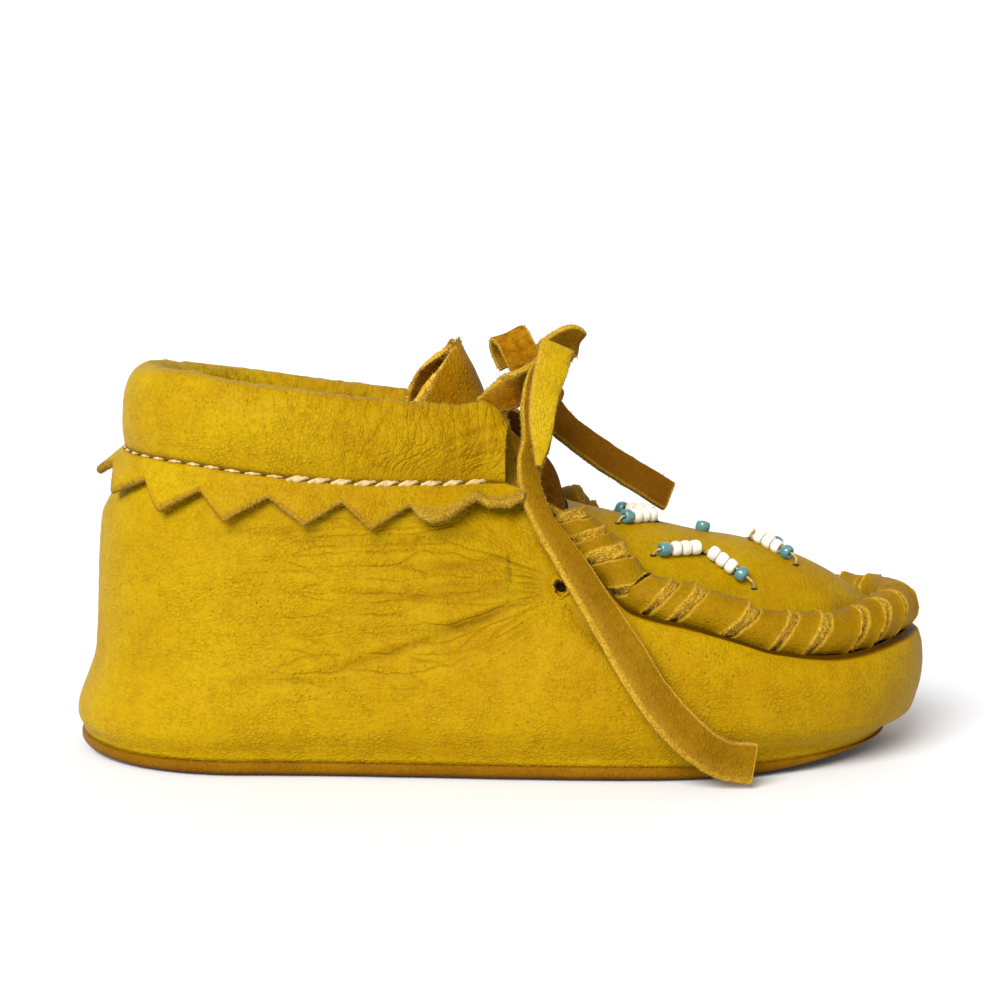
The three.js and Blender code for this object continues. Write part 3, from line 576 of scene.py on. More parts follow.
def knotBand():
    # Band round an ellipse in a leaning plane; both ends tuck behind, so it closes
    angle = circle(knot["steps"])
    section = circle(knot["around"])
    axis = unit(np.array(knot["axis"]))
    first = unit(np.cross(axis, (0, 1, 0)))
    out = turned(angle, first, np.cross(axis, first))
    centre = np.array(knot["centre"]) + out * np.array(knot["radii"]) * knot["tightness"]
    across = power(np.cos(section), 0.5) * knot["halfWidth"]
    through = np.sin(section) * knot["halfThickness"]
    through = through + knot["crown"] * (1 - (across / knot["halfWidth"]) ** 2)
    tilt = unit(axis + knot["sway"] * np.sin(angle * 2)[:, None] * first)
    points = centre[:, None] + across[:, None] * tilt[:, None] + through[:, None] * out[:, None]
    points = points + knot["lumps"] * noise(points, knot["lumpCell"], 2)[..., None] * out[:, None]
    raw = ease(knot["rawFrom"], knot["rawTo"], np.abs(across))
    return points, np.broadcast_to(raw, points.shape[:2])


def knotCore():
    # Lumpy ball inside the band: the lace that passes through it
    up = np.linspace(-0.995, 0.995, 30)[:, None]
    turn = circle(44)
    ring = np.sqrt(1 - up**2)
    ball = xyz(ring * np.cos(turn), ring * np.sin(turn), up)
    points = np.array(knot["centre"]) + ball * np.array(knot["core"])
    folds = knot["coreFolds"] * noise(points, knot["foldCell"], 2)
    # Painted shade in the hollows of the folds
    return points + folds[..., None] * ball, np.clip(-1.6 * folds, 0, 0.7)


knotPoints, knotCut = knotBand()
knotValues = {"cut": knotCut, "flesh": 0.35, "crease": 0.0}
laceKnot = addPiece("laceKnot", knotPoints, "lace", "lace_hide", "lace_knot", closed=True, **knotValues)
corePoints, coreFolds = knotCore()
laceCore = addPiece("laceKnotCore", corePoints, "lace", "lace_hide", cut=0.0, flesh=0.3, crease=coreFolds)

print("lace made")

# Last shape after the part, with the waist of the heel drawn in: sole outline, wall rows, rocker
soleShape = {
    "heelTip": -62.6, "heelCentre": -35.6, "heelHalfWidth": 24.2, "ballCentre": 20, "ballHalfWidth": 27,
    "toeTip": 57.6, "thickness": 2, "toeSpring": 0.8, "springFrom": 32, "heelLift": 0.6, "liftFrom": -48,
    "seamInset": 0.5,
}
wallRows = np.array([
    # share from heel to toe, then five pairs of offset from the sole's edge and height
    (0, 0.5, 5, -2.4, 15, -3.5, 33.5, -8.8, 43.8, -10.6, 54.6),
    (0.16, 0.8, 5.5, -2, 16, -2.9, 33.5, -7.4, 43, -8.9, 53.7),
    (0.33, 1.3, 7, -0.6, 20, -2.4, 34, -4.6, 41.6, -5.2, 51.6),
    (0.45, 1.4, 7.5, -0.6, 20, -4.2, 33, -8, 41, -9.2, 49.9),
    (0.518, 1.5, 8, -0.8, 19, -6, 32, -11.4, 40.6, -13.4, 48.5),
    (0.526, 1.5, 8.1, -0.7, 19, -5.8, 31, -10.6, 38.6, -12, 42.5),
    (0.545, 1.5, 8.3, -0.3, 18, -4.8, 28.5, -8.8, 35, -10.8, 38.2),
    (0.568, 1.6, 8.5, 0.2, 17, -3.2, 25, -6.4, 30, -9.3, 33),
    (0.614, 1.7, 8.5, 0.6, 15.5, -1.4, 21, -3.6, 24.6, -6.3, 26.9),
    (0.64, 1.7, 8.4, 0.9, 14.5, -0.6, 18.8, -2.4, 21.5, -4.8, 23.4),
    (0.7, 1.7, 8.2, 1.3, 13.5, 0.2, 17, -1.4, 19.6, -3.4, 21.3),
    (0.745, 1.9, 7.8, 1.6, 13, 0.6, 16, -0.8, 18, -2.6, 19.4),
    (0.78, 2.1, 7.2, 2.1, 12.2, 1.2, 15.2, 0.1, 16.7, -1.4, 17.8),
    (0.85, 2.8, 6.4, 3.5, 11.4, 2.9, 13.9, 2.1, 15.3, 1, 16.5),
    (0.93, 3.4, 6, 4.6, 11.7, 4.3, 14.5, 3.7, 16.1, 2.7, 17.4),
    (1, 4, 5.6, 5.5, 12.2, 5.4, 15, 5, 16.7, 4.2, 17.9),
])


def soleOutline():
    # Near half, heel to toe: quarter ellipse, bezier side, quarter ellipse; columns are the share of its
    # length, x, y and the direction along it
    s = soleShape
    t = np.linspace(0, 1, 500)
    sine = np.sin(t * math.pi / 2)
    cosine = np.cos(t * math.pi / 2)
    heelX, heelY, ballX, ballY = s["heelCentre"], -s["heelHalfWidth"], s["ballCentre"], -s["ballHalfWidth"]
    heelPart = np.stack([heelX - (heelX - s["heelTip"]) * cosine, heelY * sine], axis=1)
    toePart = np.stack([ballX + (s["toeTip"] - ballX) * sine, ballY * cosine], axis=1)
    third = (ballX - heelX) / 3
    corners = np.array([(heelX, heelY), (heelX + third, heelY), (ballX - third, ballY), (ballX, ballY)])
    weights = np.stack([(1 - t) ** 3, 3 * t * (1 - t) ** 2, 3 * t * t * (1 - t), t**3], axis=1)
    line = np.concatenate([heelPart, (weights @ corners)[1:], toePart[1:]])
    share = lengthAlong(line)
    share = share / share[-1]
    along = unit(np.gradient(line, share, axis=0))
    along[[0, -1]] = (0, -1), (0, 1)
    return np.column_stack([share, line, along])


outline = soleOutline()


def rocker(x):
    # Rise of the sole: square of the way into the toe spring, and into the heel lift
    s = soleShape
    toe = np.maximum(0, (x - s["springFrom"]) / (s["toeTip"] - s["springFrom"]))
    heel = np.maximum(0, (s["liftFrom"] - x) / (s["liftFrom"] - s["heelTip"]))
    return s["toeSpring"] * toe**2 + s["heelLift"] * heel**2


def edgeAt(lap):
    # Place on the sole's edge; lap runs once round: heel, near side, toe (0.5), far side
    turn = np.mod(lap, 1)
    near = turn <= 0.5
    share = np.where(near, 2 * turn, 2 - 2 * turn)
    side = np.where(near, 1, -1)
    x, y, alongX, alongY = (np.interp(share, outline[:, 0], column) for column in outline[:, 1:].T)
    return {"share": share, "x": x, "y": y * side, "outX": alongY, "outY": -alongX * side}


def place(station, out, z):
    # Points at offsets [laps, rows] out from the sole's edge and heights z
    x = station["x"][:, None] + station["outX"][:, None] * out
    y = station["y"][:, None] + station["outY"][:, None] * out
    return xyz(x, y, z)


def wallAt(lap):
    # Wall at each lap: heights and offsets of its rows, read smoothly between the stations
    station = edgeAt(lap)
    columns = [smooth(wallRows[:, 0], column, station["share"], True) for column in wallRows[:, 1:].T]
    seam = soleShape["thickness"] + rocker(station["x"]) + gap
    heights = np.stack([seam, *columns[1::2]], axis=1)
    outs = np.stack([np.full(len(seam), -soleShape["seamInset"]), *columns[0::2]], axis=1)
    levels = {"seam": seam, "neck": heights[:, 4], "top": heights[:, 5]}
    return {"station": station, "heights": heights, "outs": outs, **levels}


def wallOut(wall, z):
    # Offset of the wall's face at heights z
    return smooth(wall["heights"], wall["outs"], z)


def wallLean(wall, z):
    # Slope of the offset with height: central difference, kept just below the top edge
    step = 0.01
    level = np.minimum(z, wall["top"][:, None] - 2 * step)
    return (wallOut(wall, level + step) - wallOut(wall, level - step)) / (2 * step)


def offWall(wall, z, distance):
    # Offset and height at a distance outwards from the wall's face, square to it
    lean = wallLean(wall, z)
    length = np.hypot(1, lean)
    return wallOut(wall, z) + distance / length, z - distance * lean / length


def topEdge(lap):
    # Middle of the wall's top edge, and the way the wall points there
    wall = wallAt(lap)
    station = wall["station"]
    top = wall["top"][:, None]
    out, z = offWall(wall, top, -hide / 2)
    lean = wallLean(wall, top)[:, 0]
    up = unit(xyz(station["outX"] * lean, station["outY"] * lean, 1.0))
    return station, place(station, out, z)[:, 0], up


seamShape = {"radius": 3.3, "startShare": 0.556, "lean": 1.7}


def rollAt(lap):
    # Middle of the whipped seam: past the wall's top edge, square to that edge
    station, point, up = topEdge(lap)
    along = unit(topEdge(lap + 0.002)[1] - topEdge(lap - 0.002)[1])
    return station, point + squareTo(up, along) * (seamShape["radius"] + gap)


# Upper: creases are soft troughs with a ridge beside them, from (x, z) to (x, z) on the side
upper = {
    "halfLaps": 264, "outerRows": 124, "innerRows": 34, "lumps": 0.22, "wrinkles": 0.06, "gathers": 0.14,
    "seamRidge": 0.2, "underRoll": 0.7, "underRollWidth": 0.78, "holeDent": 1.3, "holeDentWidth": 1.25,
    "lumpCell": 13.0, "wrinkleCell": (7.0, 7.0, 1.6), "gatherCell": (1.5, 1.5, 9.0), "throatShare": 0.524,
    "throatWidth": 0.007, "throatHeights": (37, 41),
}
upperCreases = [
    # x1, z1, x2, z2, bow up, width, depth
    (6.8, 27.0, -9, 28.6, 0.5, 0.42, 0.26),
    (6.6, 26.5, -14, 25.6, 0.6, 0.4, 0.24),
    (6.4, 25.9, -8, 23.6, 0.4, 0.42, 0.26),
    (6.6, 25.4, -5, 20.6, 0.3, 0.4, 0.22),
    (7.2, 27.8, -4, 31.6, -0.3, 0.4, 0.22),
    (3.4, 25.0, -30, 13.4, -1.1, 0.55, 0.32),
    (1, 26.2, -25, 26.2, -1.1, 0.48, 0.26),
    (2, 30.0, -13, 28.0, 0.1, 0.45, 0.26),
    (1, 22.6, -21, 19.8, -0.6, 0.5, 0.22),
    (-18, 13.4, -41, 12.8, 0.3, 0.6, 0.14),
    (-6, 29.4, -20, 28.0, 0.4, 0.5, 0.16),
    (-8, 24.6, -22, 22.6, 0.4, 0.5, 0.14),
    (-2, 33.0, -17, 31.4, 0.5, 0.5, 0.2),
    (-12, 32.2, -30, 31.8, 0.4, 0.55, 0.16),
    (-24, 33.6, -42, 33.2, 0.4, 0.5, 0.14),
    (9, 24.6, 17, 16.0, -0.6, 0.8, 0.25),
    (12, 21.0, 24, 12.5, 0.8, 1.0, 0.22),
    (-46, 24, -52, 12, 0.8, 1.2, 0.1),
    (30, 16.4, 31, 8.0, 0.3, 0.8, 0.07),
    (36, 15.0, 38, 7.0, 0.4, 0.8, 0.07),
    (42, 14.2, 43.5, 6.5, 0.3, 0.8, 0.06),
]
thongHole = {
    "laps": {"Near": 0.286, "Far": 0.714}, "height": 26.2, "lean": 0.25, "radius": 0.95, "tall": 1.1,
    "reach": 1.75, "rim": 0.16, "depth": 1.0, "sink": 0.34, "thickness": 0.25, "rings": 22, "around": 56,
}


def creaseField(x, z, rows):
    # Sum over rows of depth times a bell across the bowed line, tapered at both ends
    trough = np.zeros(x.shape)
    ridge = np.zeros(x.shape)
    for x1, z1, x2, z2, bow, width, depth in rows:
        length = math.hypot(x2 - x1, z2 - z1)
        along = ((x - x1) * (x2 - x1) + (z - z1) * (z2 - z1)) / length**2
        aside = ((x - x1) * (z1 - z2) + (z - z1) * (x2 - x1)) / length
        aside = aside * np.sign(x2 - x1) - bow * 4 * along * (1 - along)
        taper = ease(-0.04, 0.16, along) * (1 - ease(0.6, 1.04, along))
        trough = trough + depth * taper * bell(aside, width)
        ridge = ridge + 0.5 * depth * taper * bell(aside - 2 * width, 1.3 * width)
    return trough, ridge


def crowdedLaps(halfCount):
    # Laps all round the shoe, closer together at the throat, heel and toe
    share = np.linspace(0, 1, 2000)
    weight = 1 + 3.2 * bell(share - 0.54, 0.05) + 0.5 * (share > 0.72) + 0.3 * (share < 0.2)
    total = np.concatenate([[0], np.cumsum((weight[1:] + weight[:-1]) / 2)])
    half = np.interp(np.linspace(0, total[-1], halfCount + 1), total, share) / 2
    return np.concatenate([half, 1 - half[1:-1][::-1]])


def holePlace(lap):
    # Middle of a thong hole on the wall, and the way out of it
    wall = wallAt(np.array([lap]))
    z = np.array([[thongHole["height"]]])
    point = place(wall["station"], wallOut(wall, z), z)[0, 0]
    out = (wall["station"]["outX"][0], wall["station"]["outY"][0], thongHole["lean"])
    return point, unit(np.array(out))


holePlaces = {word: holePlace(lap) for word, lap in thongHole["laps"].items()}


# Fan of fine wrinkles: where it begins and fades behind the hole, and how far up and down it reaches
fanReach = {"begin": (0.5, 4), "fade": (28, 50), "height": (8, 17), "spread": 0.8, "root": 3}


def wrinkleFan(points):
    # Values for the material's wrinkle lines, which spread backwards from the near thong hole
    hole = holePlaces["Near"][0]
    behind = hole[0] - 1 - points[..., 0]
    rise = points[..., 2] - hole[2]
    gathered = ease(*fanReach["begin"], behind) * (1 - 0.8 * ease(*fanReach["fade"], behind))
    gathered = gathered * (1 - 0.7 * ease(*fanReach["height"], np.abs(rise + 2)))
    wedge = fanReach["spread"] * np.maximum(behind, 0) + fanReach["root"]
    return {
        "across": rise * np.maximum(1, 18 / np.maximum(behind + 4, 2)), "along": behind,
        "gathered": gathered * (1 - ease(0.5, 1.1, np.abs(rise + 1) / wedge)),
    }


def upperGrid():
    # Shell profile at each lap: outer face up, rounded top edge, inner face down
    lap = crowdedLaps(upper["halfLaps"])
    wall = wallAt(lap)
    station = wall["station"]
    share = station["share"][:, None]
    seam = wall["seam"][:, None]
    top = wall["top"][:, None]
    up = np.linspace(0, 1, upper["outerRows"])
    z = seam + (top - seam) * up
    outer = place(station, wallOut(wall, z), z)
    normal = gridNormals(outer, wrapRows=True)
    trough, ridge = creaseField(outer[..., 0], outer[..., 2], upperCreases)
    free = ease(0, 0.035, up) * (1 - ease(0.88, 0.97, up))
    forefoot = ease(0.62, 0.7, share) * ease(0.45, 0.95, up)
    gathers = upper["gathers"] * forefoot * noise(outer, upper["gatherCell"])
    wrinkles = upper["wrinkles"] * noise(outer, upper["wrinkleCell"], 2) * (1 - forefoot)
    lumps = upper["lumps"] * noise(outer, upper["lumpCell"], 2)
    underRoll = ease(0.58, 0.63, share) * np.exp(-(((top - z) / upper["underRollWidth"]) ** 4))
    lift = (lumps + wrinkles + gathers + ridge - trough) * free
    lift = lift + upper["seamRidge"] * bell(z - seam, 0.5) - upper["underRoll"] * underRoll
    outer = outer + lift[..., None] * normal
    outer[:, 0, 2] -= gap
    # Painted shade: dark in the crease troughs, under the whipped seam's roll and in the throat gap; also a
    # thin darker line along the seam to the sole
    throat = bell(share - upper["throatShare"], upper["throatWidth"]) * ease(*upper["throatHeights"], z)
    crease = 0.8 * trough + 0.3 * bell(z - seam, 0.22) + 0.95 * underRoll + 0.75 * throat
    fan = wrinkleFan(outer)
    for point, out in holePlaces.values():
        away = np.linalg.norm(outer - point, axis=-1)
        outer = outer - (upper["holeDent"] * bell(away, upper["holeDentWidth"]))[..., None] * out
    down = np.linspace(1, 0, upper["innerRows"])
    innerOut, innerZ = offWall(wall, seam + (top - seam) * down, -hide)
    innerZ[:, -1] = wall["seam"]
    inner = place(station, innerOut, innerZ)
    rimShare = np.array([0.2, 0.5, 0.8])[:, None]
    rim = outer[:, -1:] * (1 - rimShare) + inner[:, :1] * rimShare
    rim[..., 2] += (0.1, 0.16, 0.1)
    plain = np.zeros((len(lap), 3 + len(down)))
    values = {key: np.concatenate([rows, plain], axis=1) for key, rows in fan.items()}
    values["crease"] = np.concatenate([np.clip(crease, 0, 0.88), plain], axis=1)
    values["flesh"] = np.concatenate([np.zeros(len(up)), [0.6, 1, 1], np.ones(len(down))])
    values["cut"] = np.concatenate([np.zeros(len(up)), [0.4, 1, 1], np.zeros(len(down))])
    return np.concatenate([outer, rim, inner], axis=1), values


upperPoints, upperValues = upperGrid()
addPiece("upperShell", upperPoints, "upper", "hide", "upper", closed=True, **upperValues)
print("upper made")


def holeDish(point, out):
    # Ragged dish sunk in the dent of the upper: cup painted dark as shade, steep wall, raised light rim
    # that slopes into the hide
    side = unit(np.cross(np.array([0, 0, 1.0]), out))
    above = np.cross(out, side)
    angle = circle(thongHole["around"])
    ragged = 1 + 0.12 * np.sin(3 * angle + 0.6) + 0.07 * np.sin(7 * angle) + 0.05 * np.sin(13 * angle + 2)
    share = np.linspace(0, 1, thongHole["rings"])[:, None]
    radius = share * thongHole["reach"] * ragged ** (1 - ease(0.6, 1, share))
    ratio = radius / (thongHole["radius"] * ragged)
    # Painted shade in the cup of the hole
    dark = 1 - ease(0.7, 1.05, ratio)
    height = thongHole["rim"] * bell(ratio - 1.3, 0.3) - thongHole["depth"] * (1 - ease(0.75, 1.1, ratio))
    height = height - thongHole["sink"] * ease(1.3, 1.85, ratio)
    spread = radius[..., None] * turned(angle, side, thongHole["tall"] * above)
    face = point + spread + height[..., None] * out
    back = face - thongHole["thickness"] * out
    return np.concatenate([face, back[::-1]]), np.concatenate([dark, dark[::-1]])


for word, (point, out) in holePlaces.items():
    dishPoints, dishShade = holeDish(point, out)
    dishCut = 0.2 * np.clip(1 - dishShade, 0, 1)
    addPiece("thongHole" + word, dishPoints, "upper", "hide", cut=dishCut, flesh=0.0, crease=dishShade)

# Sole: sections across at each share, rounded edge, suede top
sole = {
    "rows": 200, "across": 30, "toeThinning": 0.85, "thinX": (30, 58), "wave": 0.08, "waveCell": 5.0,
    "underShade": 0.8,
}
soleEdge = np.array([
    # inset from the outline, height
    (1.4, 0), (0.9, 0.1), (0.5, 0.28), (0.2, 0.55), (0.02, 0.9), (-0.02, 1.3), (0.02, 1.65), (0.14, 1.9),
    (0.4, 2.02),
])


def soleGrid():
    # Ring at each share: near edge up, top across, far edge down, bottom back
    share = 0.5 - 0.5 * np.cos(np.pi * np.linspace(0.004, 0.996, sole["rows"]))
    rings = []
    for lap, rows in ((share / 2, soleEdge), (1 - share / 2, soleEdge[::-1])):
        edge = place(edgeAt(lap), -rows[:, 0], rows[:, 1])
        thin = sole["toeThinning"] * ease(*sole["thinX"], edge[..., 0])
        edge[..., 2] += (soleEdge[-1, 1] - edge[..., 2]) * thin
        edge[..., 2] += rocker(edge[..., 0])
        rings.append(edge)
    near, far = rings
    between = np.linspace(0, 1, sole["across"])[1:-1, None]
    top = near[:, -1:] * (1 - between) + far[:, :1] * between
    bottom = far[:, -1:] * (1 - between) + near[:, :1] * between
    points = np.concatenate([near, top, far, bottom], axis=1)
    wave = sole["wave"] * noise(points, sole["waveCell"], 2)
    points[..., 1] += wave * np.sign(points[..., 1]) * (np.abs(points[..., 1]) > 1)
    under = sole["underShade"] * (1 - ease(0.2, 1.0, soleEdge[:, 1]))
    level = np.zeros(len(between))
    edge = np.zeros(len(soleEdge))
    values = {
        "flesh": np.concatenate([edge, level + 1, edge, level]), "cut": 0.0,
        "crease": np.concatenate([under, level, under[::-1], level + under[0]]),
    }
    return points, values


solePoints, soleValues = soleGrid()
addPiece("softSole", solePoints, "sole", "sole_hide", "sole", **soleValues)
print("sole made")

# Cuff: a leaf folded over the collar
cuff = {
    "endShare": 0.517, "leaf": 1.2, "gap": 0.7, "laps": 460, "rows": 97, "pinch": 0.4, "bulge": 0.35,
    "frontDrop": 1.4, "rimDip": 0.9, "cornerDrop": 2.2, "heelFlare": 2.0, "frontFlare": 2.8,
    "lumps": 0.12, "pleats": 0.2, "endReach": 0.024, "endPower": 2.2, "tipCurl": 0.5, "lastCurl": 1.3,
    "heelWidth": 0.05, "heelDraw": 0.45, "heelRound": 0.6, "pinchWidth": 0.018, "lumpCell": 7.0,
    "uprightCell": (1.3, 1.3, 5.0), "pleatCell": (1.1, 1.1, 9.0),
}
teeth = np.array([
    # share of the side, depth below the stitches, as the photo cuts them
    (0.0, 4.6), (0.05, 2.6), (0.103, 5.9), (0.151, 3.3), (0.189, 7.0), (0.23, 3.5), (0.259, 7.0),
    (0.3, 3.0), (0.334, 6.1), (0.368, 2.7), (0.396, 6.0), (0.43, 2.9), (0.44, 4.4), (0.453, 5.1),
    (0.469, 4.4), (0.487, 2.2), (0.494, 3.2), (0.507, 3.0), (0.517, 1.8),
])
fold = np.array([
    # height from stitches to collar top, rise above it, distance out from the wall
    (0, 0, 1.3), (0.4, 0, 2.2), (0.8, 0, 2.3), (1, 0.9, 1.4), (1, 1.5, -0.7), (1, 0.6, -2.8), (0.5, 0, -2.7),
    (0, 0, -2.7),
])
cuffCreases = [
    # x1, z1, x2, z2, bow up, width, depth
    (1, 44.4, -9, 42.6, 0.3, 0.32, 0.2),
    (1.2, 46.0, -8, 43.2, 0.3, 0.32, 0.2),
    (1, 48.0, -10, 44.4, 0.4, 0.35, 0.16),
    (-9, 51.0, -12, 44.6, 0.3, 0.4, 0.14),
    (-14, 51.2, -18, 45.0, 0.3, 0.4, 0.14),
    (-20, 52.0, -23, 46.0, 0.3, 0.45, 0.13),
    (-27, 52.6, -29, 47.0, 0.2, 0.45, 0.12),
]
stitchShare = 2 / (len(fold) + 1)  # of the leaf: two rows of controls lie below the stitches
stitchRow = int(round(stitchShare * (cuff["rows"] - 1)))


def cuffMiddle(wall, share, depth, lastTeeth, heel):
    # Middle line of the leaf at each lap, from the tooth over the collar to the inside edge, as offset
    # and height: two rows of controls below the stitches, then the rows of the fold
    reach = cuff["endReach"]
    end = np.clip((share - cuff["endShare"] + reach) / reach, 0, 1) ** cuff["endPower"]
    dip = cuff["rimDip"] * ease(0.2, 0.4, share) * (1 - ease(0.465, 0.5, share))
    neck = wall["neck"] - cuff["frontDrop"] * ease(0.2, 0.42, share)
    backness = 1 - ease(0.04, 0.16, share)
    tipOut = cuff["tipCurl"] * ease(3, 7, depth) + cuff["lastCurl"] * lastTeeth
    controls = []
    for below in (1.0, 0.5):
        out, height = offWall(wall, (neck - depth * below)[:, None], cuff["gap"] + cuff["leaf"] / 2)
        curl = tipOut * below**2
        stand = cuff["heelFlare"] * heel * below
        controls.append((out[:, 0] + curl + stand, height[:, 0] + 0.3 * curl + 0.15 * stand))
    for height, rise, out in fold:
        at, level = offWall(wall, (neck + (wall["top"] - neck) * height)[:, None], out)
        corner = (cuff["cornerDrop"] * end + dip) * (height == 1) + (0.7 * end + 0.6 * dip) * (height == 0.8)
        corner = corner + cuff["heelRound"] * backness * (height == 1) * (rise < 1)
        drawn = cuff["heelDraw"] * backness * (out > 1.3)
        controls.append((at[:, 0] - drawn, level[:, 0] + rise - corner))
    return throughPoints(np.moveaxis(np.array(controls), 2, 0), np.linspace(0, 1, cuff["rows"]))


def cuffGrid():
    # Both faces half a leaf from its middle line, ends rounded; then pinch, bulge, lumps, creases and pleats
    rows = cuff["rows"]
    even = np.linspace(-1, 1, cuff["laps"])
    lap = cuff["endShare"] / 2 * np.sign(even) * (1 - (1 - np.abs(even)) ** 1.25)
    share = np.abs(lap) * 2
    depth = np.interp(share, teeth[:, 0], teeth[:, 1])
    lastTeeth = ease(0.425, 0.445, share)
    heel = bell(share, cuff["heelWidth"])
    wall = wallAt(lap)
    middle = cuffMiddle(wall, share, depth, lastTeeth, heel)
    slide = np.linspace(0, 1, rows)
    innerSlide = slide[::-2]
    along = unit(np.gradient(middle, axis=1))
    outward = np.stack([along[..., 1], -along[..., 0]], axis=-1)
    thin = 0.62 + 0.38 * np.maximum(ease(0, 0.16, slide), np.maximum(lastTeeth, heel)[:, None])
    half = cuff["leaf"] / 2 * thin[..., None]
    angle = np.linspace(0, np.pi, 7)[1:-1, None]
    tip = middle[:, :1] - half[:, :1] * (np.cos(angle) * outward[:, :1] + np.sin(angle) * along[:, :1])
    inside = middle[:, -1:] + half[:, -1:] * (np.cos(angle) * outward[:, -1:] + np.sin(angle) * along[:, -1:])
    ring = np.concatenate([middle + half * outward, inside, (middle - half * outward)[:, ::-2], tip], axis=1)
    points = place(wall["station"], ring[..., 0], ring[..., 1])
    cap = np.ones(len(angle))
    v = np.concatenate([slide, cap, innerSlide, 0 * cap])
    face = np.concatenate([np.ones(rows), np.zeros(len(v) - rows)])
    normal = gridNormals(points, wrapColumns=True)
    leafOut = points[:, :rows] - place(wall["station"], middle[..., 0], middle[..., 1])
    normal = normal * np.sign(np.sum(normal[:, :rows] * leafOut))
    forward = unit(np.gradient(points[:, stitchRow:stitchRow + 1], axis=0)) * np.sign(lap)[:, None, None]
    flare = cuff["frontFlare"] * ease(0.47, cuff["endShare"], share)[:, None] * (1 - ease(0, stitchShare, v))
    points = points + flare[..., None] * forward
    trough, ridge = creaseField(points[..., 0], points[..., 2], cuffCreases)
    frontness = ease(0.25, 0.5, share)[:, None]
    band = ease(stitchShare + 0.01, stitchShare + 0.08, v) * (1 - ease(0.9, 1, v)) * face
    upright = noise(points, cuff["uprightCell"], 2) * (0.05 + 0.08 * frontness) * band
    lumps = cuff["lumps"] * noise(points, cuff["lumpCell"], 2) * (band + 0.4 * face)
    pinch = cuff["pinch"] * bell(v - stitchShare, cuff["pinchWidth"]) * face
    bulge = cuff["bulge"] * band * np.sin(np.pi * np.clip((v - stitchShare) / 0.4, 0, 1))
    pleats = cuff["pleats"] * noise(points, cuff["pleatCell"]) * ease(0.58, 0.68, v) * face
    lift = upright + lumps + bulge - pinch + (ridge - trough) * band + pleats
    points = points + lift[..., None] * normal
    return points, cuffValuesAt(points, share, depth, lastTeeth, v, face, band, trough, frontness), normal


def cuffValuesAt(points, share, depth, lastTeeth, v, face, band, trough, frontness):
    # Raw tooth edges, less of them on the rear flank of heel teeth; wrinkles lean over towards the
    # lower front
    rows = cuff["rows"]
    slide = v[:rows]
    innerSlide = slide[::-2]
    caps = (len(v) - rows - len(innerSlide)) // 2
    rearFlank = np.gradient(depth, share + 1e-6 * np.arange(len(share))) > 0
    shown = np.where(rearFlank & (share < 0.3), 0.4, 1.0)[:, None]
    outerCut = 1 - ease(0.0, 1.0, slide / (0.03 + 0.045 * lastTeeth)[:, None])
    innerCut = np.concatenate([np.full(caps, 0.7), 1 - ease(0.0, 0.02, innerSlide), np.ones(caps)])
    cut = np.concatenate([outerCut, np.tile(innerCut, (len(share), 1))], axis=1) * shown
    cut[[0, -1]] = 0.7
    # Painted shade in the stitch groove, in the creases and on the raw edges of all but the last teeth
    shaded = 0.9 * bell(v - stitchShare, 0.012) * face + 0.5 * trough * band
    shaded = shaded + 0.55 * cut * (1 - lastTeeth)[:, None]
    east = points[..., 0]
    north = points[..., 2] - 45
    tilt = np.radians(90 - 48 * (1 - ease(42, 46.5, points[..., 2])) * ease(-24, -6, east))
    return {
        "cut": cut * (0.62 + 0.38 * lastTeeth)[:, None], "crease": np.clip(shaded, 0, 0.8),
        "flesh": np.concatenate([np.zeros(rows + caps), (innerSlide < 0.75).astype(float), np.ones(caps)]),
        "across": east * np.sin(tilt) - north * np.cos(tilt),
        "along": east * np.cos(tilt) + north * np.sin(tilt),
        "gathered": (0.3 + 0.7 * frontness) * (0.35 * face + 0.65 * band),
    }


cuffPoints, cuffValues, cuffNormal = cuffGrid()
addPiece("foldedCuff", cuffPoints, "cuff", "hide", "cuff", **cuffValues)
print("cuff made")

# Stitches along the cuff's groove: short and thin at the heel, long and thick towards the front
stitch = {
    "pitch": 3.1, "jitter": 0.2, "heelLength": 2.2, "heelRadius": 0.2, "heelTilt": 0.12, "length": 3.55,
    "radius": 0.4, "tilt": 0.3, "fromX": -28, "startRoom": 1.5, "endRoom": 2.2, "strands": 0.28,
    "hole": (0.42, 0.4, 0.15), "lengths": (0.9, 1.08), "radii": (0.9, 1.1), "tilts": (0.4, 1.3),
}


